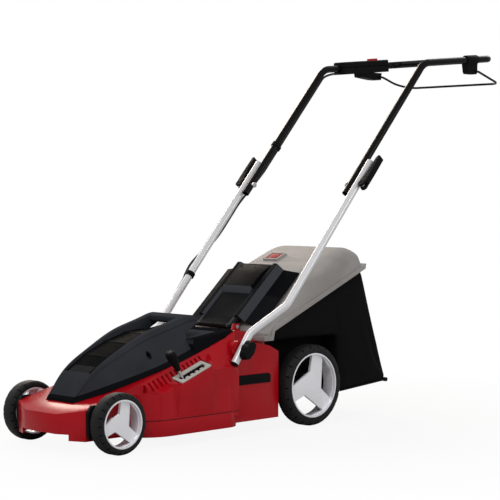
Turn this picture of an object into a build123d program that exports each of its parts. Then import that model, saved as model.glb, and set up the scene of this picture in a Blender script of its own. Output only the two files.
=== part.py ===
"""Electric rotary lawn mower with a folding push handle and a rear grass bag.

Millimetres, +Z up, the front of the mower towards -Y and its left side towards +X. The origin
is on the ground under the middle of the whole machine. Distances called d are measured backwards
from the front axle.
"""

import os
from math import atan2, cos, degrees, hypot, pi, radians, sin, tan

from build123d import *

os.makedirs("parts", exist_ok=True)

# Overall reach, used to put the origin under the middle of the machine
BUMPER_REACH = 108.0  # bumper nose ahead of the front axle
GRIP_D = 1540.0  # centre of the grip bar behind the front axle
GRIP_Z = 1088.0

# Fits
RUN = 0.06  # radial clearance of a running fit
GAP = 0.4  # gap between parts that move past each other
REST = 1.0  # gap under the closed flap
SEAT = 0.3  # gap under the hung bag

# Wheels and axles
WHEELBASE = 725.0
FRONT_WHEEL_R = 80.0
REAR_WHEEL_R = 116.0
FRONT_TYRE_W = 44.0
REAR_TYRE_W = 48.0
FRONT_TRACK = 366.0  # tyre centre to tyre centre
REAR_TRACK = 334.0
FRONT_TYRE_DEPTH = 17.0
REAR_TYRE_DEPTH = 24.0
TREAD_NOTCHES = 22
AXLE_R = 6.0
HUB_R = 15.0
RIM_INSET = 1.0  # rim edge inside the tyre's side
RIM_WALL = 4.0
STAR_RECESS = 9.0  # star behind the rim's edge
STAR_T = 8.0
CRANK_REACH = 38.0  # crank pivot ahead of the wheel centre
CRANK_DROP = 14.0  # crank pivot below the wheel centre
CRANK_W = 8.0
FRONT_WEB_X = 151.0
REAR_WEB_X = 132.0
LINK_ARM = 40.0
LINK_LEAN = 22.0  # forward lean of the link arms at rest, in degrees
LINK_X = 117.0
LINK_ARM_W = 6.0
LINK_T = 5.0
LINK_H = 12.0
LINK_PIN_R = 4.0

# Deck
DECK_WALL = 5.0
RIM_Z = 30.0
BAND_Z = 72.0  # top of the lower band round the skirt
BAND_STEP = 3.0
SKIRT_FRONT_D = 62.0
SKIRT_REAR_D = 446.0
SKIRT_HALF = 190.0
SKIRT_FRONT_R = 118.0
SKIRT_REAR_R = 60.0
SHOULDER_Z = 142.0
CORE_HALF = 140.0
REAR_HALF = 168.0
REAR_END_D = 600.0
BUMPER_HALF = 140.0
BUMPER_NOSE_HALF = 62.0
BUMPER_CORNER_D = -72.0
BUMPER_Z = 36.0
BUMPER_ARCH_Z = 52.0
BUMPER_FOOT_X = 96.0
CHAMBER_TOP = 90.0
ROOF = 6.0
CHUTE_HALF = 98.0
BLADE_D = 252.0
CHAMBER_R = 184.0
BRACKET_X = 104.0
BRACKET_W = 10.0
VENTS = 14

# Motor and blade
MOTOR_R = 58.0
MOTOR_H = 100.0
SHAFT_R = 7.0
BLADE_LENGTH = 352.0
BLADE_W = 44.0
BLADE_T = 4.0
BLADE_Z = 46.0
FAN_R = 48.0

# Cutting-height lever
LEVER_X = 180.0
LEVER_PIVOT_D = 268.0
LEVER_PIVOT_Z = 108.0
LEVER_ROD_R = 4.0
LEVER_TILT = 32.4  # forward lean at rest, in degrees
LEVER_REACH = 168.0
LEVER_KNOB_L = 60.0
PLATE_D, PLATE_Z = 258.0, 190.0
PLATE_RISE = 20.0  # climb of the plate towards the rear, in degrees
PLATE_ROLL = 15.0
PLATE_L, PLATE_W, PLATE_T = 112.0, 40.0, 3.0

# Flap
FLAP_D, FLAP_Z = 507.0, 291.0
FLAP_LENGTH = 246.0
FLAP_SLOPE = 41.9
FLAP_T = 4.0
FLAP_PANEL_HALF = 80.0
FLAP_HALF = 146.0
FLAP_DROP = 28.0
FLAP_BORDER = 6.0
FLAP_PIN_R = 3.0
FLAP_BARREL_R = 6.5
EAR_X = 92.0
EAR_W = 10.0

# Handle
TUBE_R = 11.0
TUBE_WALL = 1.5
UPPER_X = 205.0
LOWER_X = 228.0
FOOT_X = 186.0
FOOT_D, FOOT_Z = 411.0, 202.0
KNEE_D, KNEE_Z = 470.0, 282.0
HIP_D, HIP_Z = 571.0, 354.0
ELBOW_D, ELBOW_Z = 1192.0, 1056.0
LEG_LOW_D, LEG_LOW_Z = 839.0, 661.0
CLAMP_UP = 35.0  # clamp bolt above the lower end of the upper leg
OVERRUN = 90.0  # silver tube above the clamp bolt
PIVOT_UP = 45.0  # knob bolt above the foot of the silver tube
BOLT_R = 4.0
GRIP_CORNER_R = 46.0
FLANK_SUNK = 2.0
CAM_R = 11.0
CAM_OFF = 0.5  # cam's edge off the silver tube
FOOT_CAP_L = 4.0
POD_R = 24.0
ELBOW_R = 62.0
KNEE_R = 45.0

# Bail
BAIL_R = 3.5
BAIL_HALF = 170.0
BAIL_PIVOT_D, BAIL_PIVOT_Z = 1438.0, 1042.0
BAIL_BAR_D, BAIL_BAR_Z = 1545.0, 1008.0
BAIL_END_X = 196.0
BAIL_OUT_X = 221.0  # left-hand side of the bail, outside its bracket

# Switch box
SWITCH_FRONT_D = 1262.0
SWITCH_REAR_D = 1488.0
SWITCH_HALF_W = 25.0
SWITCH_UP = 20.0
SWITCH_DOWN = 20.0
BUTTON_D = 1430.0
BUTTON_L, BUTTON_W = 30.0, 20.0
BUTTON_SHOW = 6.0
BUTTON_TRAVEL = 4.0

# Cable
CABLE_R = 3.5
CABLE_OFF = 15.2  # cable centre from the tube centre
FOLD_REACH = 90.0  # cable freed on each side of the folding joint
CLIP_W = 14.0

# Bag
BAG_HALF = 165.0
NECK_HALF = 94.0
BAG_WALL = 2.5
LID_HALF = 168.0
LID_FLAT_HALF = 122.0
LID_WALL = 3.0
LID_LIP = 4.0
LID_FRONT_D, LID_FRONT_Z = 583.0, 279.0
LID_REAR_D, LID_REAR_Z = 966.0, 440.0
LID_TOP_Z = 503.0
LID_LOW_Z = 253.0
BAG_FRONT_D = 590.0
NECK_FRONT_D = 604.0
BAG_WIDE_D = 852.0
BAG_OVER_WHEEL_Z = 246.0
BAG_BOTTOM_FRONT = (862.0, 86.0)
BAG_BOTTOM_REAR = (1078.0, 104.0)

FRONT_AXLE_Y = (BUMPER_REACH - GRIP_D - TUBE_R) / 2
SIDES = (("left", 1), ("right", -1))


def at(d):
    """Y of a point d behind the front axle."""
    return FRONT_AXLE_Y + d


def point(x, d, z):
    return (x, at(d), z)


def heading(d_from, z_from, d_to, z_to):
    """Direction of a side-view line, as (along Y, along Z)."""
    angle = atan2(z_to - z_from, d_to - d_from)
    return cos(angle), sin(angle)


def side_plane(x=0.0):
    """Side view seen from the left: local X runs along +Y and local Y along +Z, facing +X."""
    return Plane(origin=(x, 0, 0), x_dir=(0, 1, 0), z_dir=(1, 0, 0))


def cross_plane(x, d, z):
    """Plane facing +X with its origin on a cross axle."""
    return Plane(origin=point(x, d, z), x_dir=(0, 1, 0), z_dir=(1, 0, 0))


def side_slab(points, x_from, x_to, mode=Mode.ADD):
    """Side-view outline in (d, z) carried from one X to another."""
    with BuildSketch(side_plane(x_from)) as profile:
        Polygon(*[(at(d), z) for d, z in points], align=None)
    extrude(profile.sketch, amount=x_to - x_from, mode=mode)


def plan_slab(points, z_from, z_to, mode=Mode.ADD):
    """Plan outline in (x, d) carried from one height to another."""
    with BuildSketch(Plane.XY.offset(z_from)) as profile:
        Polygon(*[(x, at(d)) for x, d in points], align=None)
    extrude(profile.sketch, amount=z_to - z_from, mode=mode)


def mirrored(points):
    """Half outline in (x, d), completed about the middle of the machine."""
    return points + [(-x, d) for x, d in reversed(points)]


def cross_rod(x_from, x_to, d, z, radius, mode=Mode.ADD):
    """Cylinder along X."""
    with BuildSketch(cross_plane(x_from, d, z)) as profile:
        Circle(radius)
    extrude(profile.sketch, amount=x_to - x_from, mode=mode)


def post(x, d, z_from, z_to, radius, mode=Mode.ADD):
    """Cylinder along Z."""
    with BuildSketch(Plane(origin=point(x, d, z_from))) as profile:
        Circle(radius)
    extrude(profile.sketch, amount=z_to - z_from, mode=mode)


def bar(start, end, x_from, x_to, radius):
    """Flat bar with round ends between two side-view points."""
    angle = degrees(atan2(end[1] - start[1], end[0] - start[0]))
    length = hypot(end[0] - start[0], end[1] - start[1])
    middle = ((start[0] + end[0]) / 2, (start[1] + end[1]) / 2)
    with BuildSketch(cross_plane(x_from, *middle)) as profile:
        SlotCenterToCenter(length, 2 * radius, rotation=angle)
    extrude(profile.sketch, amount=x_to - x_from)


def tube(points, bends, outer, inner=0.0):
    """Round tube, or bar when inner is 0, along a path with rounded corners."""
    with BuildLine() as path:
        if bends:
            FilletPolyline(*points, radius=bends)
        else:
            Line(*points)
    with BuildSketch(Plane(origin=path.line @ 0, z_dir=path.line % 0)) as ring:
        Circle(outer)
        if inner:
            Circle(inner, mode=Mode.SUBTRACT)
    sweep(ring.sketch, path=path.line)


def write(builder, name):
    """Labels a finished piece and writes its file."""
    builder.part.label = name
    export_step(builder.part, f"parts/{name}.step")


LEAN = radians(LINK_LEAN)
FRONT_PIVOT = (-CRANK_REACH, FRONT_WHEEL_R - CRANK_DROP)
REAR_PIVOT = (WHEELBASE - CRANK_REACH, REAR_WHEEL_R - CRANK_DROP)
FRONT_LINK = (FRONT_PIVOT[0] - LINK_ARM * sin(LEAN), FRONT_PIVOT[1] + LINK_ARM * cos(LEAN))
REAR_LINK = (REAR_PIVOT[0] - LINK_ARM * sin(LEAN), REAR_PIVOT[1] + LINK_ARM * cos(LEAN))
LEG = heading(LEG_LOW_D, LEG_LOW_Z, ELBOW_D, ELBOW_Z)
CLAMP = (LEG_LOW_D + CLAMP_UP * LEG[0], LEG_LOW_Z + CLAMP_UP * LEG[1])
SHIN = heading(FOOT_D, FOOT_Z, KNEE_D, KNEE_Z)
PIVOT = (FOOT_D + PIVOT_UP * SHIN[0], FOOT_Z + PIVOT_UP * SHIN[1])
THIGH = heading(HIP_D, HIP_Z, *CLAMP)
LOWER_TOP = (CLAMP[0] + OVERRUN * THIGH[0], CLAMP[1] + OVERRUN * THIGH[1])
ARM = heading(ELBOW_D, ELBOW_Z, GRIP_D, GRIP_Z)
SLOPE = radians(FLAP_SLOPE)
PLATE_TOP = Plane(
    origin=point(LEVER_X, PLATE_D, PLATE_Z),
    x_dir=(0, cos(radians(PLATE_RISE)), sin(radians(PLATE_RISE))),
    z_dir=(
        sin(radians(PLATE_ROLL)),
        -cos(radians(PLATE_ROLL)) * sin(radians(PLATE_RISE)),
        cos(radians(PLATE_ROLL)) * cos(radians(PLATE_RISE)),
    ),
)

# Cowl cross-sections: d, half-width and height of the ridge, half-width and height of the edge
COWL = (
    (-46, 52, 131, 58, 124.5),
    (-17, 56, 164, 68, 131),
    (18, 59, 200, 80, 141),
    (76, 63, 236, 101, 158),
    (140, 68, 268, 122, 180),
    (218, 74, 299, 138, 205),
    (283, 77, 316, 141, 224),
    (362, 80, 330, 142, 247),
)


def cowl_loft(stations, ridge_in, top_in, edge_in, edge_drop):
    """Smooth body through trapezium cross-sections, shrunk by the given amounts."""
    sections = []
    for d, ridge, top, edge, low in stations:
        half, width = ridge - ridge_in, edge - edge_in
        with BuildSketch(Plane(origin=point(0, d, 0), x_dir=(1, 0, 0), z_dir=(0, -1, 0))) as section:
            Polygon(
                (width, low - edge_drop), (half, top - top_in), (-half, top - top_in),
                (-width, low - edge_drop), align=None,
            )
        sections.append(section.sketch)
    loft(sections)


def flank_cut(side):
    """Shallow cut along one flank of the cowl, clear of its rail and of its lower edge."""
    sections = []
    for d, ridge, top, edge, low in COWL:
        run = Vector(edge - ridge, low - top)
        out = Vector(-run.Y, run.X).normalized()
        rail, rim = (Vector(ridge, top) + run * share for share in (0.14, 0.88))
        corners = (rail - out * FLANK_SUNK, rim - out * FLANK_SUNK, rim + out * 15, rail + out * 15)
        across = Plane(origin=point(0, d, 0), x_dir=(side, 0, 0), z_dir=(0, -side, 0))
        with BuildSketch(across) as section:
            Polygon(*[(corner.X, corner.Y) for corner in corners], align=None)
        sections.append(section.sketch)
    loft(sections, mode=Mode.SUBTRACT)


# Deck shell
core_side = [
    (-46, 100), (-46, 124), (45, 146), (131, 176), (214, 203), (316, 233), (419, 268),
    (455, 287), (480, 283), (512, 280), (530, 250), (564, 240), (REAR_END_D, 222), (REAR_END_D, BUMPER_Z),
    (40, BUMPER_Z), (40, 100),
]
shoulder_in = [
    (108, 60), (108, 167), (214, 203), (316, 233), (419, 268), (455, 285), (455, 60),
]
shoulder_out = [
    (150, 60), (150, SHOULDER_Z), (214, 160), (316, 190), (400, 196), (428, 176), (428, 60),
]
rear_side = [
    (400, BUMPER_Z), (400, 150), (440, 238), (512, 250), (564, 240), (REAR_END_D, 222),
    (REAR_END_D, BUMPER_Z),
]
bumper_plan = [
    (BUMPER_NOSE_HALF, -BUMPER_REACH), (BUMPER_HALF, BUMPER_CORNER_D), (BUMPER_HALF, 70),
]
bumper_inside = [
    (BUMPER_NOSE_HALF - 4, DECK_WALL - BUMPER_REACH),
    (BUMPER_HALF - DECK_WALL, BUMPER_CORNER_D + DECK_WALL),
    (BUMPER_HALF - DECK_WALL, 50),
]
roof_top = CHAMBER_TOP + ROOF
with BuildPart() as deck_shell:
    side_slab(core_side, -CORE_HALF, CORE_HALF)
    side_slab(rear_side, -REAR_HALF, REAR_HALF)
    for skirt_z, skirt_top, step in ((RIM_Z, BAND_Z, 0), (BAND_Z, SHOULDER_Z, BAND_STEP)):
        with BuildSketch(Plane.XY.offset(skirt_z)) as skirt:
            corners = [
                (SKIRT_HALF - step, SKIRT_FRONT_D + step), (SKIRT_HALF - step, SKIRT_REAR_D - step),
            ]
            Polygon(*[(x, at(d)) for x, d in mirrored(corners)], align=None)
            fillet(skirt.vertices().group_by(Axis.Y)[0], SKIRT_FRONT_R)
            fillet(skirt.vertices().group_by(Axis.Y)[-1], SKIRT_REAR_R)
        extrude(amount=skirt_top - skirt_z)
    for _, side in SIDES:
        with BuildPart(mode=Mode.PRIVATE) as shoulder:
            for x, points in ((CORE_HALF - 2, shoulder_in), (SKIRT_HALF - 4, shoulder_out)):
                with BuildSketch(side_plane(side * x)):
                    Polygon(*[(at(d), z) for d, z in points], align=None)
            loft(ruled=True)
        add(shoulder.part)
        cross_rod(side * 130, side * (FOOT_X - TUBE_R - GAP), *PIVOT, POD_R)
        foot_swing = hypot(PIVOT_UP + FOOT_CAP_L, TUBE_R) + 2
        cross_rod(side * (FOOT_X - TUBE_R - GAP), side * 200, *PIVOT, foot_swing, Mode.SUBTRACT)
    plan_slab(mirrored(bumper_plan), BUMPER_Z, 124)
    side_slab([(-112, 102), (-46, 124), (-46, 140), (-112, 140)], -200, 200, Mode.SUBTRACT)
    # Swelling of the shoulder under the height lever's plate
    with BuildPart(mode=Mode.PRIVATE) as swelling:
        for swell_z, swell_x in ((74, SKIRT_HALF - 4), (132, LEVER_X + 21), (230, LEVER_X + 21)):
            with BuildSketch(Plane.XY.offset(swell_z)):
                Polygon(
                    (150, at(PLATE_D - 84)), (swell_x, at(PLATE_D - 58)), (swell_x, at(PLATE_D + 60)),
                    (150, at(PLATE_D + 92)), align=None,
                )
        loft(ruled=True)
        split(bisect_by=PLATE_TOP, keep=Keep.BOTTOM)
    add(swelling.part)
    with BuildSketch(PLATE_TOP):
        Rectangle(PLATE_L + 1, PLATE_W + 1)
    extrude(amount=30, mode=Mode.SUBTRACT)
    # Hollow inside of the bumper, the cutting chamber, the motor bay, the chute and the rear
    plan_slab(mirrored(bumper_inside), 20, 97, Mode.SUBTRACT)
    inner_x = BUMPER_HALF - DECK_WALL
    side_slab(
        [(-64, 20), (-64, 112), (-50, 118), (46, 122), (46, 20)], -inner_x, inner_x, Mode.SUBTRACT
    )
    plan_slab(
        mirrored([(BUMPER_FOOT_X, -BUMPER_REACH - 5), (BUMPER_FOOT_X, -20)]),
        20,
        BUMPER_ARCH_Z,
        Mode.SUBTRACT,
    )
    post(0, BLADE_D, 20, CHAMBER_TOP, CHAMBER_R, Mode.SUBTRACT)
    bay_back = BLADE_D + MOTOR_R + 16
    plan_slab(
        mirrored([(78, 60), (106, 131), (124, 214), (128, bay_back)]), roof_top, 320, Mode.SUBTRACT
    )
    post(0, BLADE_D, CHAMBER_TOP - 5, roof_top + 5, SHAFT_R + 8, Mode.SUBTRACT)
    side_slab(
        [(bay_back + 6, 40), (bay_back + 6, CHAMBER_TOP), (420, 178), (500, 262), (640, 262), (640, 130),
         (470, 118), (390, 66), (390, 40)],
        -CHUTE_HALF,
        CHUTE_HALF,
        Mode.SUBTRACT,
    )
    side_slab(
        [(345, 150), (345, 300), (478, 300), (478, 262), (420, 200)], -128, 128, Mode.SUBTRACT
    )
    side_slab(
        [(452, 20), (452, 90), (478, 110), (594, 122), (594, 20)], -162, 162, Mode.SUBTRACT
    )
    for _, side in SIDES:
        side_slab(
            [(440, 20), (440, 150), (470, 225), (510, 240), (594, 215), (594, 20)],
            side * 112,
            side * 162,
            Mode.SUBTRACT,
        )
        cross_rod(side * 120, side * 160, *FRONT_PIVOT, AXLE_R + 2, Mode.SUBTRACT)
        # Row of vent slots below the cowl's edge
        for vent in range(VENTS):
            vent_d = 116 + 15 * vent
            edge_z = 176 + (vent_d - 131) * 0.318
            side_slab(
                [(vent_d, edge_z - 28), (vent_d, edge_z - 8), (vent_d + 6, edge_z - 6),
                 (vent_d + 6, edge_z - 26)],
                side * 134,
                side * 170,
                Mode.SUBTRACT,
            )
    # Tunnel of the link bar and the pocket of the height lever
    side_slab(
        [(-40, 78), (60, 87), (120, roof_top), (330, 104), (480, 110), (640, 114), (640, 166), (480, 156),
         (330, 148), (50, 130), (-40, 112)],
        LINK_X - 6,
        LINK_X + 18,
        Mode.SUBTRACT,
    )
    side_slab(
        [(196, roof_top), (196, 150), (340, 150), (340, roof_top)],
        LEVER_X - 7,
        LEVER_X + 5,
        Mode.SUBTRACT,
    )
    side_slab(
        [(256, 100), (192, 222), (294, 222), (281, 100)], LEVER_X - 7, LEVER_X + 7, Mode.SUBTRACT
    )
    cross_rod(LEVER_X - 14, LEVER_X + 8, LEVER_PIVOT_D, LEVER_PIVOT_Z, LEVER_ROD_R)
    # Ledges that carry the front of the bag, and ears that carry the flap
    for _, side in SIDES:
        side_slab(
            [(536, 232), (536, LID_LOW_Z - SEAT), (576, LID_LOW_Z - SEAT), (576, 226)],
            side * 104,
            side * 136,
        )
        ear_x = side * (EAR_X - EAR_W / 2)
        side_slab(
            [(490, 276), (FLAP_D + 14, 264), (FLAP_D + 10, FLAP_Z + 8), (FLAP_D - 9, FLAP_Z + 9)],
            ear_x,
            ear_x + side * EAR_W,
        )
        cross_rod(ear_x - side, ear_x + side * (EAR_W + 1), FLAP_D, FLAP_Z, FLAP_PIN_R, Mode.SUBTRACT)
        cross_rod(side * 128, side * 190, *PIVOT, BOLT_R, Mode.SUBTRACT)
write(deck_shell, "deck_shell")

# Cowl over the motor, with its carrying bar and rear wing
wing_side = [(308, 226), (300, 270), (440, 288), (452, 288), (452, 285.4), (419, 268), (316, 233)]
with BuildPart() as motor_cowl:
    cowl_loft(COWL, 0, 0, 0, 0)
    with BuildPart(mode=Mode.PRIVATE) as hollow:
        cowl_loft(COWL[1:6], 13, 24, 7, 6)
    add(hollow.part, mode=Mode.SUBTRACT)
    for _, side in SIDES:
        flank_cut(side)
    side_slab(wing_side, -138, 138)
    post(0, BLADE_D, 120, 240, MOTOR_R + 9, Mode.SUBTRACT)
    # Finger gap in front of the carrying bar, open to the rear under the bar and its rails
    side_slab(
        [(280, 350), (280, 284), (306, 279), (420, 292), (420, 309), (320, 309), (316, 314),
         (316, 350)],
        -56,
        56,
        Mode.SUBTRACT,
    )
    side_slab([(308, 271), (308, 286), (364, 314), (380, 314), (380, 280.3)], -200, 200, Mode.SUBTRACT)
    # Top panel recess
    side_slab(
        [(14, 215), (14, 189), (76, 228), (140, 257), (218, 281), (281, 288), (281, 340)],
        -56,
        56,
        Mode.SUBTRACT,
    )
    # Screw holes in the flanks
    for _, side in SIDES:
        cross_rod(side * 90, side * 130, 176, 236, 4.5, Mode.SUBTRACT)
    # Room over the deck's own top line, so that the cowl sits on it
    side_slab(
        [(-60, 60), (-60, 120.6), (-46, 124), (45, 146), (131, 176), (214, 203), (316, 233),
         (419, 268), (455, 287), (455, 60)],
        -200,
        200,
        Mode.SUBTRACT,
    )
write(motor_cowl, "motor_cowl")

# Stepped panel in the top of the cowl
with BuildPart() as cowl_panel:
    side_slab(
        [(14.4, 189.3), (76, 228), (140, 257), (218, 281), (279.6, 287.9), (279.6, 291), (222, 285.5),
         (222, 284), (150, 264.5), (150, 263), (80, 233.5), (80, 232), (14.4, 193)],
        -55.6,
        55.6,
    )
write(cowl_panel, "cowl_panel")

# Motor
motor_z = roof_top
with BuildPart() as motor_body:
    post(0, BLADE_D, motor_z, motor_z + 6, MOTOR_R + 6)
    post(0, BLADE_D, motor_z + 6, motor_z + MOTOR_H, MOTOR_R)
    post(0, BLADE_D, motor_z + MOTOR_H, motor_z + MOTOR_H + 14, 22)
    post(0, BLADE_D, motor_z - 1, motor_z + MOTOR_H - 10, SHAFT_R + RUN, Mode.SUBTRACT)
    with BuildSketch(Plane(origin=point(0, BLADE_D, motor_z + 16))):
        with PolarLocations(MOTOR_R, 16):
            Rectangle(8, 5)
    extrude(amount=MOTOR_H - 26, mode=Mode.SUBTRACT)
write(motor_body, "motor_body")

# Turning parts under the motor
with BuildPart() as rotor_shaft:
    post(0, BLADE_D, BLADE_Z + BLADE_T, motor_z + MOTOR_H - 12, SHAFT_R)
    post(0, BLADE_D, BLADE_Z + BLADE_T, BLADE_Z + BLADE_T + 14, 20)
    post(0, BLADE_D, BLADE_Z + BLADE_T + 14, BLADE_Z + BLADE_T + 17, FAN_R)
    with BuildSketch(Plane(origin=point(0, BLADE_D, BLADE_Z + BLADE_T + 17))):
        with PolarLocations(FAN_R / 2 + 8, 8):
            Rectangle(FAN_R - 20, 3)
    extrude(amount=14)
    post(0, BLADE_D, BLADE_Z, BLADE_Z + 22, 4, Mode.SUBTRACT)
write(rotor_shaft, "rotor_shaft")

half_blade = BLADE_LENGTH / 2
with BuildPart() as blade:
    with BuildSketch(Plane(origin=point(0, BLADE_D, BLADE_Z))):
        with BuildLine():
            Polyline(
                (half_blade, -BLADE_W / 2), (half_blade - 70, -BLADE_W / 2), (half_blade - 90, -18),
                (-18, -18), (18 - half_blade, -18), (-half_blade, -6), (-half_blade, BLADE_W / 2),
                (70 - half_blade, BLADE_W / 2), (90 - half_blade, 18), (18, 18),
                (half_blade - 18, 18), (half_blade, 6), close=True,
            )
        make_face()
        Circle(4, mode=Mode.SUBTRACT)
    extrude(amount=BLADE_T)
    for turn in (0, 180):
        with BuildSketch(Plane(origin=point(0, BLADE_D, BLADE_Z + BLADE_T))):
            with Locations(Rotation(0, 0, turn) * Location((half_blade - 52, 14, 0))):
                Rectangle(60, 10)
        extrude(amount=9, taper=14)
write(blade, "blade")

with BuildPart() as blade_bolt:
    post(0, BLADE_D, BLADE_Z - 3, BLADE_Z, 16)
    with BuildSketch(Plane(origin=point(0, BLADE_D, BLADE_Z - 10))):
        RegularPolygon(9, 6)
    extrude(amount=7)
    post(0, BLADE_D, BLADE_Z, BLADE_Z + 21, 4)
write(blade_bolt, "blade_bolt")


# Wheels and their cranked axles
def make_tyre(name, side, d, radius, width, depth, track):
    """Rubber ring with rounded shoulders and a row of notches in each shoulder."""
    hub = point(side * track / 2, d, radius)
    with BuildPart() as tyre:
        curve = 0.26 * width
        shoulder = [
            (radius - curve * (1 - cos(turn)), width / 2 - curve * (1 - sin(turn)))
            for turn in (0, pi / 6, pi / 3, pi / 2)
        ]
        half = shoulder + [(radius - depth + 3, width / 2), (radius - depth, width / 2 - 3)]
        with BuildSketch(Plane(origin=hub, x_dir=(0, 1, 0), z_dir=(0, 0, 1))):
            Polygon(*half, *[(r, -x) for r, x in reversed(half)], align=None)
        revolve(axis=Axis(hub, (1, 0, 0)))
        for face in (1, -1):
            with BuildSketch(cross_plane(hub[0] + face * width / 2, d, radius)):
                with PolarLocations(radius - 2, TREAD_NOTCHES):
                    Rectangle(14, 0.035 * radius)
            extrude(amount=-face * 0.2 * width, mode=Mode.SUBTRACT)
    write(tyre, name)


def make_rim(name, side, d, radius, width, depth, track, web_x):
    """Open barrel with a recessed three-spoke star and a blind hub behind it."""
    outer_r = radius - depth
    inner_r = outer_r - RIM_WALL
    inner_face = side * (web_x + CRANK_W + GAP)
    outer_face = side * (track / 2 + width / 2 - RIM_INSET)
    back_face = side * (track / 2 - width / 2 + RIM_INSET)
    star_face = outer_face - side * STAR_RECESS
    with BuildPart() as rim:
        cross_rod(back_face, outer_face, d, radius, outer_r)
        cross_rod(star_face, outer_face, d, radius, inner_r, Mode.SUBTRACT)
        cross_rod(back_face, star_face - side * STAR_T, d, radius, inner_r, Mode.SUBTRACT)
        with BuildSketch(cross_plane(star_face, d, radius)):
            with PolarLocations(0, 3):
                Polygon(
                    (0.43 * inner_r, -0.143 * inner_r), (0.88 * inner_r, -0.52 * inner_r),
                    (1.2 * inner_r, 0.1 * inner_r), (0.49 * inner_r, 0.89 * inner_r), align=None,
                )
            Circle(inner_r - 1, mode=Mode.INTERSECT)
        extrude(amount=-side * STAR_T, mode=Mode.SUBTRACT)
        cross_rod(inner_face, star_face - side * STAR_T, d, radius, HUB_R)
        cross_rod(
            inner_face - side, star_face - side * (STAR_T - 2), d, radius, AXLE_R + RUN, Mode.SUBTRACT
        )
    write(rim, name)


def make_axle(name, pivot, wheel_d, wheel_r, web_x, track, width, link):
    """Cross rod with a crank and a stub at each end, and the arm of the link bar."""
    face = track / 2 + width / 2 - RIM_INSET - STAR_RECESS - STAR_T
    with BuildPart() as axle:
        cross_rod(-web_x, web_x, *pivot, AXLE_R)
        for _, side in SIDES:
            bar(pivot, (wheel_d, wheel_r), side * web_x, side * (web_x + CRANK_W), 11)
            cross_rod(side * web_x, side * (face + 2 - GAP), wheel_d, wheel_r, AXLE_R)
        bar(pivot, link, LINK_X, LINK_X + LINK_ARM_W, 9)
        pin_end = LINK_X + LINK_ARM_W + 2 * GAP + LINK_T
        cross_rod(LINK_X, pin_end, *link, LINK_PIN_R)
        cross_rod(pin_end, pin_end + 2.5, *link, LINK_PIN_R + 2)
    write(axle, name)


WHEELS = (
    ("front", 0.0, FRONT_WHEEL_R, FRONT_TYRE_W, FRONT_TYRE_DEPTH, FRONT_TRACK, FRONT_WEB_X),
    ("rear", WHEELBASE, REAR_WHEEL_R, REAR_TYRE_W, REAR_TYRE_DEPTH, REAR_TRACK, REAR_WEB_X),
)
for end, wheel_d, wheel_r, tyre_w, tyre_depth, track, web_x in WHEELS:
    for side_name, side in SIDES:
        make_tyre(f"{end}_tyre_{side_name}", side, wheel_d, wheel_r, tyre_w, tyre_depth, track)
        make_rim(f"{end}_rim_{side_name}", side, wheel_d, wheel_r, tyre_w, tyre_depth, track, web_x)
    pivot, link = (FRONT_PIVOT, FRONT_LINK) if end == "front" else (REAR_PIVOT, REAR_LINK)
    make_axle(f"{end}_axle", pivot, wheel_d, wheel_r, web_x, track, tyre_w, link)

with BuildPart() as height_link:
    link_x = LINK_X + LINK_ARM_W + GAP
    bar(FRONT_LINK, REAR_LINK, link_x, link_x + LINK_T, LINK_H / 2)
    for end_point in (FRONT_LINK, REAR_LINK):
        cross_rod(link_x, link_x + LINK_T, *end_point, LINK_H / 2 + 2)
        cross_rod(link_x - 1, link_x + LINK_T + 1, *end_point, LINK_PIN_R + RUN, Mode.SUBTRACT)
write(height_link, "height_link")

for side_name, side in SIDES:
    with BuildPart() as front_bracket:
        side_slab(
            [(-70, 48), (-60, 40), (-14, 40), (-8, 52), (-12, 112), (-26, 128), (-58, 128),
             (-72, 110)],
            side * BUMPER_HALF,
            side * (FRONT_WEB_X - GAP),
        )
        cross_rod(
            side * (BUMPER_HALF - 1), side * FRONT_WEB_X, *FRONT_PIVOT, AXLE_R + RUN, Mode.SUBTRACT
        )
    write(front_bracket, f"front_axle_bracket_{side_name}")
    with BuildPart() as rear_bracket:
        side_slab(
            [(REAR_END_D, 60), (REAR_END_D, 124), (676, 122), (706, 112), (706, 92), (676, 82)],
            side * BRACKET_X,
            side * (BRACKET_X + BRACKET_W),
        )
        cross_rod(
            side * (BRACKET_X - 1),
            side * (BRACKET_X + BRACKET_W + 1),
            *REAR_PIVOT,
            AXLE_R + RUN,
            Mode.SUBTRACT,
        )
    write(rear_bracket, f"rear_axle_bracket_{side_name}")

# Cutting-height lever and its plate
lean = radians(LEVER_TILT)
lever_plane = Plane(
    origin=point(LEVER_X, LEVER_PIVOT_D, LEVER_PIVOT_Z),
    x_dir=(1, 0, 0),
    z_dir=(0, -sin(lean), cos(lean)),
)
with BuildPart() as lever_rod:
    cross_rod(LEVER_X - 4, LEVER_X + 4, LEVER_PIVOT_D, LEVER_PIVOT_Z, 9)
    with BuildSketch(lever_plane):
        Circle(LEVER_ROD_R)
    extrude(amount=LEVER_REACH - 6)
    cross_rod(
        LEVER_X - 5, LEVER_X + 5, LEVER_PIVOT_D, LEVER_PIVOT_Z, LEVER_ROD_R + RUN, Mode.SUBTRACT
    )
write(lever_rod, "lever_rod")

with BuildPart() as lever_knob:
    for reach, radius, wide in ((LEVER_REACH - LEVER_KNOB_L, 6.5, 7), (LEVER_REACH - 36, 13, 10),
                                (LEVER_REACH - 14, 18, 13), (LEVER_REACH - 4, 16, 12),
                                (LEVER_REACH, 11, 8)):
        with BuildSketch(lever_plane.offset(reach)):
            Polygon(
                *[(radius * cos(pi * n / 6), wide * sin(pi * n / 6)) for n in range(12)], align=None
            )
    loft(ruled=True)
    with BuildSketch(lever_plane):
        Circle(LEVER_ROD_R)
    extrude(amount=LEVER_REACH - 6, mode=Mode.SUBTRACT)
write(lever_knob, "lever_knob")

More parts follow.
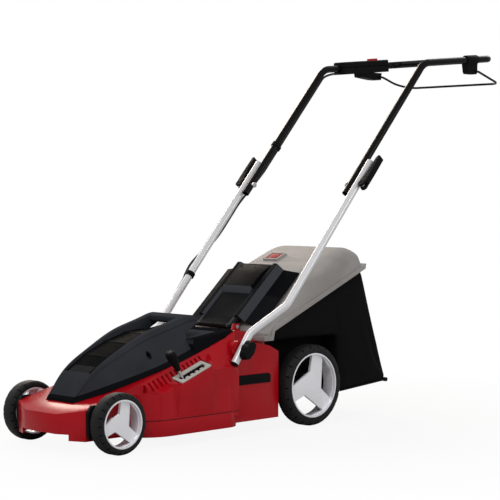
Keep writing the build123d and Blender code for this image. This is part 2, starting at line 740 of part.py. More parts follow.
with BuildPart() as height_plate:
    with BuildSketch(PLATE_TOP):
        RectangleRounded(PLATE_L, PLATE_W, 4)
        Rectangle(PLATE_L - 20, 13, mode=Mode.SUBTRACT)
        with Locations(*[(-36 + 18 * step, -8.5) for step in range(5)]):
            Rectangle(8, 7, mode=Mode.SUBTRACT)
    extrude(amount=PLATE_T)
write(height_plate, "height_plate")

for side_name, side in SIDES:
    with BuildPart() as side_strip:
        side_slab(
            [(446, 138), (446, 164), (560, 164), (566, 158), (566, 138)],
            side * REAR_HALF,
            side * (REAR_HALF + 3),
        )
    write(side_strip, f"side_strip_{side_name}")

# Rear flap, in a section whose local X runs along -X and local Y up out of the slope
flap_plane = Plane(
    origin=point(0, FLAP_D, FLAP_Z), x_dir=(-1, 0, 0), z_dir=(0, cos(SLOPE), sin(SLOPE))
)
step_x = FLAP_PANEL_HALF + 12
panel_up = FLAP_T - 1
border_up = panel_up + FLAP_BORDER
flap_half = [
    (FLAP_PANEL_HALF - 22, panel_up), (FLAP_PANEL_HALF - 14, border_up), (FLAP_PANEL_HALF, border_up),
    (step_x, panel_up + 8 - FLAP_DROP), (FLAP_HALF, panel_up - FLAP_DROP),
]
flap_top = [(-x, up) for x, up in reversed(flap_half)] + flap_half


def on_flap(s, up):
    """Side-view point, s along the flap's slope and up out of it."""
    return (
        FLAP_D + s * cos(SLOPE) - up * sin(SLOPE),
        FLAP_Z + s * sin(SLOPE) + up * cos(SLOPE),
    )


barrel_half = EAR_X - EAR_W / 2 - GAP
with BuildPart() as rear_flap:
    with BuildSketch(flap_plane.offset(34)):
        Polygon(*flap_top, *[(x, y - FLAP_T) for x, y in reversed(flap_top)], align=None)
    extrude(amount=FLAP_LENGTH - 34)
    with BuildSketch(flap_plane.offset(FLAP_LENGTH)):
        Polygon(*flap_top, align=None)
    extrude(amount=-FLAP_T)
    with BuildSketch(flap_plane):
        with Locations((0, panel_up - FLAP_T / 2)):
            Rectangle(2 * FLAP_PANEL_HALF, FLAP_T)
    extrude(amount=40)
    # Grip pad, whose front edge lifts out of the panel
    side_slab(
        [on_flap(124, panel_up - 2), on_flap(126, panel_up + 1), on_flap(142, panel_up + 14),
         on_flap(200, panel_up + 11), on_flap(240, panel_up + 3), on_flap(240, panel_up - 2)],
        24 - FLAP_PANEL_HALF,
        FLAP_PANEL_HALF - 24,
    )
    cross_rod(-barrel_half, barrel_half, FLAP_D, FLAP_Z, FLAP_BARREL_R)
    cross_rod(-barrel_half - 1, barrel_half + 1, FLAP_D, FLAP_Z, FLAP_PIN_R + RUN, Mode.SUBTRACT)
write(rear_flap, "rear_flap")

with BuildPart() as flap_pin:
    cross_rod(-EAR_X - EAR_W / 2, EAR_X + EAR_W / 2, FLAP_D, FLAP_Z, FLAP_PIN_R)
    for _, side in SIDES:
        pin_end = side * (EAR_X + EAR_W / 2)
        cross_rod(pin_end, pin_end + side * 2.5, FLAP_D, FLAP_Z, FLAP_PIN_R + 2.5)
write(flap_pin, "flap_pin")

# Grass bag: a hard lid, a fabric body and the frame of its mouth
wing_under = panel_up - FLAP_DROP - FLAP_T - REST


def under_flap(s):
    """Side-view point just below the flap's wings, s along its slope."""
    return on_flap(s, wing_under)


lid_front_d = 540.0
lid_top = [
    (LID_REAR_D + 3, LID_REAR_Z + 22), (948, LID_TOP_Z - 2), (900, LID_TOP_Z), (794, 460),
    under_flap(FLAP_LENGTH + 4), under_flap(16),
]
lid_side = [(lid_front_d, 215), (LID_FRONT_D, 215), (LID_REAR_D, LID_REAR_Z - 60)] + lid_top
lid_base = [(lid_front_d, LID_LOW_Z), (577, LID_LOW_Z), (LID_FRONT_D, LID_FRONT_Z), (LID_REAR_D, LID_REAR_Z)]
lid_flange = lid_base + [
    (LID_REAR_D + 3, LID_REAR_Z + 15), (LID_FRONT_D - 3, LID_FRONT_Z + 14), (568, 267),
    (lid_front_d, 267),
]
vane_x, vane_d, vane_l, vane_w = -60.0, 806.0, 30.0, 46.0
lid_pitch = heading(794, 460, 900, LID_TOP_Z)
vane_plane = Plane(
    origin=point(vane_x, vane_d, 460 + (vane_d - 794) * lid_pitch[1] / lid_pitch[0]),
    x_dir=(0, lid_pitch[0], lid_pitch[1]),
    z_dir=(0, -lid_pitch[1], lid_pitch[0]),
)


def half_lid(inset):
    """Left half of the lid, or of its hollow when an inset is given, drawn in at the shoulder."""
    with BuildSketch(side_plane()) as flat:
        Polygon(*[(at(d), z) for d, z in lid_side], align=None)
        if inset:
            offset(amount=-inset, kind=Kind.INTERSECTION)
    extrude(flat.sketch, amount=LID_FLAT_HALF)
    with BuildSketch(side_plane(LID_FLAT_HALF)) as edge:
        Polygon(*[(at(d), z) for d, z in lid_side], align=None)
        if inset:
            offset(amount=-inset, kind=Kind.INTERSECTION)
    extrude(edge.sketch, amount=LID_HALF - LID_FLAT_HALF - inset, taper=20)
    mirror(about=Plane.YZ)


with BuildPart() as bag_lid:
    half_lid(0)
    side_slab(lid_flange, -LID_HALF - LID_LIP, LID_HALF + LID_LIP)
    with BuildPart(mode=Mode.PRIVATE) as lid_hollow:
        half_lid(LID_WALL)
    add(lid_hollow.part, mode=Mode.SUBTRACT)
    side_slab(
        lid_base + [(LID_REAR_D + 40, LID_REAR_Z), (LID_REAR_D + 40, 150), (lid_front_d - 20, 150),
                    (lid_front_d - 20, LID_LOW_Z)],
        -LID_HALF - 20,
        LID_HALF + 20,
        Mode.SUBTRACT,
    )
    with BuildSketch(vane_plane.offset(-3)):
        with Locations((vane_l / 2, 0)):
            RectangleRounded(vane_l + 18, vane_w + 14, 5)
    extrude(amount=9)
    with BuildSketch(vane_plane.offset(-6)):
        with Locations((vane_l / 2, 0)):
            Rectangle(vane_l + 2 * GAP + 4, vane_w + 2 * GAP)
    extrude(amount=20, mode=Mode.SUBTRACT)
    vane_axis = vane_plane.from_local_coords((3, 0, 2.5))
    cross_rod(
        vane_x - vane_w / 2 - 4, vane_x + vane_w / 2 + 4, vane_axis.Y - at(0), vane_axis.Z, 1.5 + RUN,
        Mode.SUBTRACT,
    )
write(bag_lid, "bag_lid")

with BuildPart() as level_vane:
    with BuildSketch(vane_plane):
        with Locations((vane_l / 2 + 1, 0)):
            Rectangle(vane_l - 2, vane_w)
    extrude(amount=5)
    cross_rod(
        vane_x - vane_w / 2 - 3.5, vane_x + vane_w / 2 + 3.5, vane_axis.Y - at(0), vane_axis.Z, 1.5
    )
write(level_vane, "level_vane")

base_rise = (LID_REAR_Z - LID_FRONT_Z) / (LID_REAR_D - LID_FRONT_D)


def lid_line(d):
    """Height of the lid's lower edge."""
    return LID_FRONT_Z + (d - LID_FRONT_D) * base_rise


def bag_form(inset, top_add, mode=Mode.ADD):
    """The bag's three joined boxes: behind the wheels, above the wheels and the neck between them."""
    wide, neck = BAG_HALF - inset, NECK_HALF - inset
    side_slab(
        [
            (BAG_WIDE_D + inset, BAG_BOTTOM_FRONT[1] + 14 + inset),
            (BAG_BOTTOM_FRONT[0] + inset, BAG_BOTTOM_FRONT[1] + inset),
            (BAG_BOTTOM_REAR[0] - 12 - inset, BAG_BOTTOM_REAR[1] - 1 + inset),
            (BAG_BOTTOM_REAR[0] - inset, BAG_BOTTOM_REAR[1] + 12 + inset),
            (LID_REAR_D - inset, LID_REAR_Z + top_add), (BAG_WIDE_D + inset, lid_line(BAG_WIDE_D) + top_add),
        ],
        -wide,
        wide,
        mode,
    )
    side_slab(
        [
            (BAG_FRONT_D + inset, BAG_OVER_WHEEL_Z + inset), (BAG_WIDE_D + 20, BAG_OVER_WHEEL_Z + inset),
            (BAG_WIDE_D + 20, lid_line(BAG_WIDE_D + 20) + top_add),
            (BAG_FRONT_D + inset, lid_line(BAG_FRONT_D + inset) + top_add),
        ],
        -wide,
        wide,
        mode,
    )
    neck_front = NECK_FRONT_D - 10 * (inset > 0)
    side_slab(
        [
            (neck_front, 140 + inset), (BAG_WIDE_D + 20, 124 + inset), (BAG_WIDE_D + 20, 260),
            (neck_front, 260),
        ],
        -neck,
        neck,
        mode,
    )


with BuildPart() as bag_fabric:
    bag_form(0, 0)
    bag_form(BAG_WALL, 6, Mode.SUBTRACT)
write(bag_fabric, "bag_fabric")

# Upper handle
grip = [
    point(UPPER_X, LEG_LOW_D, LEG_LOW_Z), point(UPPER_X, ELBOW_D, ELBOW_Z),
    point(UPPER_X, GRIP_D, GRIP_Z), point(-UPPER_X, GRIP_D, GRIP_Z),
    point(-UPPER_X, ELBOW_D, ELBOW_Z), point(-UPPER_X, LEG_LOW_D, LEG_LOW_Z),
]
with BuildPart() as upper_tube:
    tube(grip, [ELBOW_R, GRIP_CORNER_R, GRIP_CORNER_R, ELBOW_R], TUBE_R, TUBE_R - TUBE_WALL)
    cross_rod(-UPPER_X - 20, UPPER_X + 20, *CLAMP, BOLT_R + RUN, Mode.SUBTRACT)
write(upper_tube, "upper_tube")

# Lower handle, one tube on each side, with its foot cap, knob, bolts and cam lever
for side_name, side in SIDES:
    leg_path = [
        point(side * FOOT_X, FOOT_D, FOOT_Z), point(side * FOOT_X, KNEE_D, KNEE_Z),
        point(side * LOWER_X, HIP_D, HIP_Z), point(side * LOWER_X, *LOWER_TOP),
    ]
    with BuildPart() as lower_tube:
        tube(leg_path, [KNEE_R, KNEE_R], TUBE_R, TUBE_R - TUBE_WALL)
        cross_rod(side * (FOOT_X - 20), side * (FOOT_X + 20), *PIVOT, BOLT_R + RUN, Mode.SUBTRACT)
        cross_rod(side * (LOWER_X - 20), side * (LOWER_X + 20), *CLAMP, BOLT_R, Mode.SUBTRACT)
    write(lower_tube, f"lower_tube_{side_name}")

    foot = Plane(origin=leg_path[0], z_dir=(0, -SHIN[0], -SHIN[1]))
    with BuildPart() as foot_cap:
        with BuildSketch(foot):
            Circle(TUBE_R)
        extrude(amount=FOOT_CAP_L, taper=12)
        with BuildSketch(foot):
            Circle(TUBE_R - TUBE_WALL)
        extrude(amount=-8)
    write(foot_cap, f"foot_cap_{side_name}")

    knob_x = FOOT_X + TUBE_R + GAP
    with BuildPart() as handle_bolt:
        cross_rod(side * 128, side * (knob_x + 16), *PIVOT, BOLT_R)
    write(handle_bolt, f"handle_bolt_{side_name}")

    with BuildPart() as handle_knob:
        cross_rod(side * knob_x, side * (knob_x + 4), *PIVOT, 11)
        with BuildSketch(cross_plane(side * (knob_x + 4), *PIVOT)):
            SlotCenterToCenter(26, 32, rotation=degrees(atan2(SHIN[1], SHIN[0])))
            Circle(19)
        extrude(amount=side * 20, taper=8)
        cross_rod(side * (knob_x - 1), side * (knob_x + 16 + GAP), *PIVOT, BOLT_R + RUN, Mode.SUBTRACT)
    write(handle_knob, f"handle_knob_{side_name}")

    cam_x = LOWER_X + TUBE_R + CAM_R + CAM_OFF
    cam_axis = (0, -LEG[1], LEG[0])
    cam_plane = Plane(origin=point(side * cam_x, *CLAMP), x_dir=(0, LEG[0], LEG[1]), z_dir=cam_axis)
    with BuildPart() as clamp_bolt:
        inner_x = UPPER_X - TUBE_R - GAP
        cross_rod(side * (inner_x - 6), side * inner_x, *CLAMP, 8)
        cross_rod(side * inner_x, side * cam_x, *CLAMP, BOLT_R)
        with BuildSketch(cam_plane.offset(-4.5)):
            Circle(5.5)
        extrude(amount=9)
        with BuildSketch(cam_plane.offset(-9)):
            Circle(2.5)
        extrude(amount=18)
    write(clamp_bolt, f"clamp_bolt_{side_name}")

    with BuildPart() as clamp_lever:
        with BuildSketch(cam_plane.offset(-11)):
            Circle(CAM_R)
        extrude(amount=22)
        with BuildSketch(cam_plane.offset(-10)):
            out = -side  # local Y of the cam plane points inwards on the left
            Polygon(
                (0, out * -CAM_R), (24, out * -8), (58, out * -2), (98, out * -1), (108, out * 4),
                (106, out * 11), (60, out * 12), (24, out * 12), (0, out * CAM_R), align=None,
            )
        extrude(amount=20)
        with BuildSketch(cam_plane.offset(-4.5 - GAP)):
            with Locations((-6, 0)):
                Rectangle(32, 40)
        extrude(amount=9 + 2 * GAP, mode=Mode.SUBTRACT)
        with BuildSketch(cam_plane.offset(-12)):
            Circle(2.5 + RUN)
        extrude(amount=24, mode=Mode.SUBTRACT)
    write(clamp_lever, f"clamp_lever_{side_name}")

# Bail under the grip bar
bail_path = [
    point(-BAIL_END_X, BAIL_PIVOT_D, BAIL_PIVOT_Z), point(-BAIL_HALF, BAIL_PIVOT_D, BAIL_PIVOT_Z),
    point(-BAIL_HALF, BAIL_BAR_D, BAIL_BAR_Z), point(BAIL_OUT_X, BAIL_BAR_D, BAIL_BAR_Z),
    point(BAIL_OUT_X, BAIL_PIVOT_D, BAIL_PIVOT_Z), point(BAIL_END_X, BAIL_PIVOT_D, BAIL_PIVOT_Z),
]
with BuildPart() as bail:
    tube(bail_path, [10, 60, 20, 8], BAIL_R)
write(bail, "bail")


def arm_plane(side):
    """Plane along the grip arm, from the elbow: local X rearwards, local Z up."""
    return Plane(
        origin=point(side * UPPER_X, ELBOW_D, ELBOW_Z), x_dir=(0, *ARM), z_dir=(0, -ARM[1], ARM[0])
    )


def along_arm(d):
    return (d - ELBOW_D) / ARM[0]


def arm_bore():
    """Cylinder of the grip arm's own size."""
    with BuildSketch(Plane(origin=grip[4], z_dir=(0, *ARM))) as bore:
        Circle(TUBE_R)
    extrude(bore.sketch, amount=along_arm(GRIP_D) - GRIP_CORNER_R, mode=Mode.SUBTRACT)


switch_plane = arm_plane(-1)
switch_mid = (along_arm(SWITCH_FRONT_D) + along_arm(SWITCH_REAR_D)) / 2
switch_l = along_arm(SWITCH_REAR_D) - along_arm(SWITCH_FRONT_D)
with BuildPart() as switch_case_top:
    with BuildSketch(switch_plane):
        with Locations((switch_mid, 0)):
            RectangleRounded(switch_l, 2 * SWITCH_HALF_W, 10)
    extrude(amount=SWITCH_UP)
    fillet(switch_case_top.faces().sort_by(Axis.Z)[-1].edges(), 5)
    with BuildSketch(switch_plane.offset(TUBE_R + 1)):
        with Locations((along_arm(BUTTON_D), 0)):
            Rectangle(BUTTON_L + 2 * GAP, BUTTON_W + 2 * GAP)
    extrude(amount=SWITCH_UP, mode=Mode.SUBTRACT)
    arm_bore()
write(switch_case_top, "switch_case_top")

with BuildPart() as switch_case_bottom:
    with BuildSketch(switch_plane):
        with Locations((switch_mid, 0)):
            RectangleRounded(switch_l, 2 * SWITCH_HALF_W, 10)
    extrude(amount=-SWITCH_DOWN)
    side_slab(
        [(BAIL_PIVOT_D - 88, BAIL_PIVOT_Z + 14), (BAIL_PIVOT_D - 84, BAIL_PIVOT_Z - 3),
         (BAIL_PIVOT_D - 20, BAIL_PIVOT_Z - 9),
         (BAIL_PIVOT_D + 8, BAIL_PIVOT_Z - 9), (BAIL_PIVOT_D + 12, BAIL_PIVOT_Z + 14)],
        -UPPER_X - 12,
        -UPPER_X + SWITCH_HALF_W - 2,
    )
    arm_bore()
    cross_rod(
        -BAIL_END_X - 2, -BAIL_HALF, BAIL_PIVOT_D, BAIL_PIVOT_Z, BAIL_R + RUN, Mode.SUBTRACT
    )
write(switch_case_bottom, "switch_case_bottom")

with BuildPart() as safety_button:
    with BuildSketch(switch_plane.offset(TUBE_R + 1 + BUTTON_TRAVEL + GAP)):
        with Locations((along_arm(BUTTON_D), 0)):
            Rectangle(BUTTON_L, BUTTON_W)
    extrude(amount=SWITCH_UP + BUTTON_SHOW - TUBE_R - 1 - BUTTON_TRAVEL - GAP)
    fillet(safety_button.faces().sort_by(Axis.Z)[-1].edges(), 2)
write(safety_button, "safety_button")

with BuildPart() as bail_bracket:
    with BuildSketch(Plane(origin=point(UPPER_X, ELBOW_D, ELBOW_Z), z_dir=(0, *ARM)).offset(
        along_arm(BAIL_PIVOT_D) - 42
    )):
        Circle(TUBE_R + 4)
    extrude(amount=52)
    side_slab(
        [(BAIL_PIVOT_D - 40, BAIL_PIVOT_Z + 24), (BAIL_PIVOT_D - 34, BAIL_PIVOT_Z - 6),
         (BAIL_PIVOT_D - 28, BAIL_PIVOT_Z - 9), (BAIL_PIVOT_D + 4, BAIL_PIVOT_Z - 9),
         (BAIL_PIVOT_D + 9, BAIL_PIVOT_Z - 4), (BAIL_PIVOT_D + 10, BAIL_PIVOT_Z + 24)],
        UPPER_X - 16,
        UPPER_X + 8,
    )
    with BuildSketch(Plane(origin=grip[1], z_dir=(0, *ARM))):
        Circle(TUBE_R)
    extrude(amount=along_arm(GRIP_D) - GRIP_CORNER_R, mode=Mode.SUBTRACT)
    cross_rod(
        BAIL_END_X - 2, BAIL_OUT_X, BAIL_PIVOT_D, BAIL_PIVOT_Z, BAIL_R + RUN, Mode.SUBTRACT
    )
write(bail_bracket, "bail_bracket")

# Cable from the switch box down the right-hand tubes to the motor
def beside_leg(x, s, turn=0.0, off=CABLE_OFF):
    """Point on the cable, s above the clamp bolt, turned from behind the tube to its outer side."""
    run = LEG if s > 0 else THIGH
    back = off * cos(radians(turn))
    return point(
        x - off * sin(radians(turn)),
        CLAMP[0] + s * run[0] + back * run[1],
        CLAMP[1] + s * run[1] - back * run[0],
    )


leg_length = hypot(ELBOW_D - CLAMP[0], ELBOW_Z - CLAMP[1])
hip_s = -hypot(CLAMP[0] - HIP_D, CLAMP[1] - HIP_Z)
gland = (-150.0, 476.0)
gland_z = 264.0  # top of the strain relief
bend = atan2(LEG[1], LEG[0]) - atan2(ARM[1], ARM[0])
elbow_in = CABLE_OFF * tan(bend / 2)  # the cable's own corner falls short of the elbow
arm_start = along_arm(SWITCH_FRONT_D)
with BuildPart() as cable_upper:
    tube(
        [beside_leg(-UPPER_X, FOLD_REACH), beside_leg(-UPPER_X, leg_length - elbow_in),
         tuple(switch_plane.from_local_coords((arm_start, 0, -CABLE_OFF)))],
        [ELBOW_R - CABLE_OFF],
        CABLE_R,
    )
write(cable_upper, "cable_upper")

with BuildPart() as cable_fold:
    tube(
        [beside_leg(-LOWER_X, -FOLD_REACH), beside_leg(-LOWER_X, 30 - FOLD_REACH),
         beside_leg(-UPPER_X, FOLD_REACH - 30), beside_leg(-UPPER_X, FOLD_REACH)],
        [60, 60],
        CABLE_R,
    )
write(cable_fold, "cable_fold")

with BuildPart() as cable_lower:
    tube(
        [beside_leg(-LOWER_X, -FOLD_REACH), beside_leg(-LOWER_X, -200), beside_leg(-LOWER_X, -245, 45, 18),
         beside_leg(-LOWER_X, -290, 90), beside_leg(-LOWER_X, hip_s + 70, 90)],
        [80, 60, 80],
        CABLE_R,
    )
write(cable_lower, "cable_lower")

with BuildPart() as cable_base:
    tube(
        [beside_leg(-LOWER_X, hip_s + 70, 90), beside_leg(-LOWER_X, hip_s + 35, 90), point(-244, 567, 334),
         point(-212, 520, 291), point(-176, 492, 279), point(*gland, gland_z + 15), point(*gland, gland_z)],
        [36, 45, 40, 25, 9],
        CABLE_R,
    )
write(cable_base, "cable_base")

with BuildPart() as cable_gland:
    with BuildSketch(Plane.XY.offset(gland_z)):
        with Locations((gland[0], at(gland[1]))):
            Circle(CABLE_R + 1.5)
    extrude(amount=-30, taper=-8)
    side_slab(
        [(400, 100), (400, 150), (440, 238), (512, 250), (564, 240), (564, 100)], -200, 200, Mode.SUBTRACT
    )
write(cable_gland, "cable_gland")

for clip_name, clip_x, clip_s, cable_at in (
    ("upper", UPPER_X, 165.0, (0, CABLE_OFF)), ("lower", LOWER_X, hip_s + 88, (-CABLE_OFF, 0)),
):
    run = LEG if clip_s > 0 else THIGH
    clip_at = point(-clip_x, CLAMP[0] + clip_s * run[0], CLAMP[1] + clip_s * run[1])
    clip_plane = Plane(origin=clip_at, x_dir=(1, 0, 0), z_dir=(0, *run))
    with BuildPart() as cable_clip:
        with BuildSketch(clip_plane.offset(-CLIP_W / 2)):
            Circle(TUBE_R + 3)
            with Locations(cable_at):
                Circle(CABLE_R + 3)
            Circle(TUBE_R, mode=Mode.SUBTRACT)
            with Locations(cable_at):
                Circle(CABLE_R, mode=Mode.SUBTRACT)
        extrude(amount=CLIP_W)
    write(cable_clip, f"cable_clip_{clip_name}")
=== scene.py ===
"""Looks of an electric rotary lawn mower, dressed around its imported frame.

Metres, in the frame's own axes: +Z up, the front wheels towards -Y, the height lever's side +X.
"""

import math

import bpy
from bpy.props import FloatProperty, FloatVectorProperty, PointerProperty
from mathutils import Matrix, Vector


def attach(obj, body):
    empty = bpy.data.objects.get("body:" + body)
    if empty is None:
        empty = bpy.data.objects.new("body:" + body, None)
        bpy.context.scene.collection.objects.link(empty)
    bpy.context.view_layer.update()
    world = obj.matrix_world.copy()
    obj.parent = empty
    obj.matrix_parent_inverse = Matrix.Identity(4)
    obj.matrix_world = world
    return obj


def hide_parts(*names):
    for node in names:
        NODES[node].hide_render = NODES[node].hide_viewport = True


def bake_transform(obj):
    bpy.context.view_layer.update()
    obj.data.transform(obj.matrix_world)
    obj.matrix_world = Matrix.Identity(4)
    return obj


bl_info = {
    "name": "Rotary mower dresser",
    "version": (1, 0, 0),
    "blender": (4, 5, 0),
    "location": "3D View > Sidebar > Mower",
    "description": "Finishes the mower's frame and adds its cloth bag, cable and small trim",
    "category": "Object",
}

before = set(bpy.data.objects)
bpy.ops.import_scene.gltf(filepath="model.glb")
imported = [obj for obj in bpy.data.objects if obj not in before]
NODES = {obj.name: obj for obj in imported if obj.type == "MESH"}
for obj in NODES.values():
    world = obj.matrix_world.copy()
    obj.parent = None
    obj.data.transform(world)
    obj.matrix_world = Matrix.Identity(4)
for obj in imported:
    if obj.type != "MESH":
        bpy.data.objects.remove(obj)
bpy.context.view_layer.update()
FRONT_AXLE_Y = -0.7215


def behind(x, d, z):
    """Point d millimetres behind the front axle, in metres."""
    return Vector((x / 1000, FRONT_AXLE_Y + d / 1000, z / 1000))


def colour(name, words, default):
    return FloatVectorProperty(
        name=name, description=words, subtype="COLOR", size=3, min=0.0, max=1.0, default=default
    )


def length(name, words, default):
    return FloatProperty(name=name, description=words, unit="LENGTH", default=default)


class MowerColours(bpy.types.PropertyGroup):
    """Colours of the mower's finishes"""

    deck: colour("Deck", "Moulded deck", (0.375, 0.0022, 0.0078))
    cowl: colour("Cowl", "Motor cowl", (0.0300, 0.0318, 0.0375))
    panel: colour("Cowl panel", "Stepped panel in the cowl", (0.0052, 0.0054, 0.0057))
    flap: colour("Flap", "Rear flap", (0.0186, 0.0196, 0.0225))
    trim: colour("Trim", "Small black mouldings", (0.0065, 0.0065, 0.0070))
    lid: colour("Bag lid", "Hard lid of the grass bag", (0.300, 0.284, 0.274))
    cloth: colour("Bag cloth", "Woven cloth of the grass bag", (0.0026, 0.0026, 0.0030))
    rim: colour("Rim", "Wheel rims", (0.860, 0.860, 0.900))
    tyre: colour("Tyre", "Tyres", (0.0050, 0.0050, 0.0053))
    signal: colour("Signal red", "Safety button and level vane", (0.260, 0.0040, 0.0060))
    plate: colour("Height plate", "Slotted plate of the height lever", (0.430, 0.415, 0.385))
    tube: colour("Lower tubes", "Lacquered lower handle tubes", (0.700, 0.700, 0.720))
    paint: colour("Upper tube", "Painted upper handle tube", (0.0030, 0.0030, 0.0036))
    badge: colour("Bare plate", "Glossy plate on the cowl", (0.0030, 0.0030, 0.0034))
    steel: colour("Steel", "Blade, axles and pins", (0.520, 0.520, 0.540))


class MowerSizes(bpy.types.PropertyGroup):
    """Sizes of the added pieces"""

    voxel: length("Cloth grid", "Spacing of the bag cloth's grid", 0.006)
    bulge: length("Cloth bulge", "Furthest that the bag cloth may move", 0.009)
    piping: length("Piping", "Radius of the bag's piped seams", 0.0024)
    cable: length("Cable", "Radius of the motor cable", 0.0035)
    round_over: length("Round-over", "Softened edge of the mouldings", 0.0022)


class Tone:
    """A number that varies over a surface; arithmetic on it adds Math nodes."""

    def __init__(self, finish, socket):
        self.finish = finish
        self.socket = socket

    def math(self, operation, *values):
        made = self.finish.node("ShaderNodeMath", {"operation": operation}, dict(enumerate(values)))
        return Tone(self.finish, made.outputs[0])

    def __add__(self, other):
        return self.math("ADD", self, other)

    __radd__ = __add__

    def __sub__(self, other):
        return self.math("SUBTRACT", self, other)

    def __rsub__(self, other):
        return self.math("SUBTRACT", other, self)

    def __mul__(self, other):
        return self.math("MULTIPLY", self, other)

    __rmul__ = __mul__

    def __truediv__(self, other):
        return self.math("DIVIDE", self, other)

    def __pow__(self, other):
        return self.math("POWER", self, other)

    def clamp(self):
        return self.math("MINIMUM", self.math("MAXIMUM", self, 0.0), 1.0)

    def sine(self):
        return self.math("SINE", self)

    def above(self, edge):
        return self.math("GREATER_THAN", self, edge)


class Finish:
    """One procedural material, with its Principled shader at hand."""

    def __init__(self, name, **constants):
        self.material = bpy.data.materials.new(name)
        self.material.use_nodes = True
        self.tree = self.material.node_tree
        self.shader = next(n for n in self.tree.nodes if n.type == "BSDF_PRINCIPLED")
        self.place = self.node("ShaderNodeTexCoord").outputs["Object"]
        for socket, value in constants.items():
            self.shader.inputs[socket.replace("_", " ")].default_value = value

    def node(self, kind, settings=None, sockets=None):
        """Adds a node, sets it up, then fills or links its sockets."""
        made = self.tree.nodes.new(kind)
        for key, value in (settings or {}).items():
            setattr(made, key, value)
        for key, value in (sockets or {}).items():
            self.feed(made.inputs[key], value)
        return made

    def feed(self, socket, value):
        if isinstance(value, Tone):
            value = value.socket
        if isinstance(value, bpy.types.NodeSocket):
            self.tree.links.new(value, socket)
        elif socket.type == "RGBA" and len(value) == 3:
            socket.default_value = (*value, 1.0)
        else:
            socket.default_value = value

    def drive(self, **sockets):
        """Feeds the shader's sockets from tones and colours."""
        for name, value in sockets.items():
            self.feed(self.shader.inputs[name.replace("_", " ")], value)

    def noise(self, scale, detail=2.0, stretch=(1, 1, 1)):
        """Soft noise from about 0 to 1, scale per metre."""
        spread = self.node(
            "ShaderNodeMapping", None, {"Vector": self.place, "Scale": stretch}
        ).outputs[0]
        made = self.node(
            "ShaderNodeTexNoise", None, {"Vector": spread, "Scale": scale, "Detail": detail}
        )
        return Tone(self, made.outputs["Fac"])

    def axis(self, name):
        split = self.node("ShaderNodeSeparateXYZ", None, {0: self.place})
        return Tone(self, split.outputs[name])

    def within(self, low, high):
        """1 inside a box in the frame's axes, 0 outside it."""
        inside = 1.0
        for name, start, end in zip("XYZ", low, high):
            part = self.axis(name)
            inside = part.above(start) * (1.0 - part.above(end)) * inside
        return inside

    def shades(self, tone, dark, light):
        """Colour between two shades."""
        mixed = self.node(
            "ShaderNodeMix", {"data_type": "RGBA"}, {"Factor": tone, 6: dark, 7: light}
        )
        return mixed.outputs[2]

    def relief(self, height, depth, strength=1.0):
        """Raises the surface by a tone, depth in metres."""
        bump = self.node(
            "ShaderNodeBump", None, {"Height": height, "Distance": depth, "Strength": strength}
        )
        self.feed(self.shader.inputs["Normal"], bump.outputs[0])


def scaled(tint, factor):
    return tuple(min(1.0, part * factor) for part in tint)


def gloss_moulding(name, tint, rough=0.16, coat=0.12, shine=0.09, dark=(), haze=0.05):
    """Shiny injection moulding with faint ripple and handling marks, with painted shade inside the dark
    boxes.
    """
    finish = Finish(name, Coat_Roughness=haze, Specular_IOR_Level=shine)
    cloud = finish.noise(7.0, 3.0)
    shade = finish.shades(cloud, scaled(tint, 0.86), scaled(tint, 1.16))
    # painted shade: inside each box the colour drops to its given share of the tint
    for low, high, left in dark:
        shade = finish.shades(finish.within(low, high), shade, scaled(tint, left))
    finish.drive(
        Base_Color=shade,
        Roughness=rough + 0.1 * finish.noise(38.0, 4.0),
        Coat_Weight=coat * (0.7 + 0.5 * finish.noise(5.0)).clamp(),
    )
    finish.relief(finish.noise(95.0, 2.0), 0.00025, 0.25)
    return finish.material


def grained_moulding(name, tint, rough=0.42, grain=0.5, shine=0.14):
    """Satin moulding with a fine spark-eroded grain."""
    finish = Finish(name, Specular_IOR_Level=shine)
    cloud = finish.noise(11.0, 3.0)
    speck = finish.noise(1400.0, 2.0)
    finish.drive(
        Base_Color=finish.shades(cloud, scaled(tint, 0.8), scaled(tint, 1.3)),
        Roughness=(rough - 0.07) + 0.14 * finish.noise(46.0, 3.0),
    )
    finish.relief(speck, 0.00022, grain)
    return finish.material


# Cowl, in metres from the front axle: ends of its foot line, screw hole and start of the rear wings,
# which bound its painted shade
FOOT_START, FOOT_END, FOOT_Z, FOOT_BAND = -0.046, 0.214, 0.124, 0.013
FOOT_SLOPE, FOOT_CURVE = 0.3038, 0.089
HOLE_D, HOLE_Z, HOLE_HALF_D, HOLE_HALF_Z = 0.176, 0.236, 0.0065, 0.0105
WING_D, WING_X_SQUARED = 0.302, 0.0118


def cowl_moulding(name, tint):
    """Satin moulding with painted shade along the cowl's foot, on its rear wings and in the screw holes.
    """
    finish = Finish(name, Specular_IOR_Level=0.0)
    x, d, z = finish.axis("X"), finish.axis("Y") - FRONT_AXLE_Y, finish.axis("Z")
    foot = FOOT_Z + FOOT_SLOPE * (d - FOOT_START) + FOOT_CURVE * (d - FOOT_START) * (d - FOOT_END)
    along, up = (d - HOLE_D) / HOLE_HALF_D, (z - HOLE_Z) / HOLE_HALF_Z
    wing = (x * x).above(WING_X_SQUARED) * d.above(WING_D)
    # painted shade: below the foot band, on the rear wings and in the screw holes, the colour drops to
    # 0.22 of the tint
    flank = (z - foot).above(FOOT_BAND) * (along * along + up * up).above(1.0) * (1.0 - wing)
    cloud = finish.noise(11.0, 3.0)
    lit = finish.shades(cloud, scaled(tint, 0.75), scaled(tint, 1.4))
    finish.drive(
        Base_Color=finish.shades(flank, scaled(tint, 0.22), lit),
        Roughness=0.48 + 0.14 * finish.noise(46.0, 3.0),
    )
    finish.relief(finish.noise(1400.0, 2.0), 0.00022, 0.35)
    return finish.material


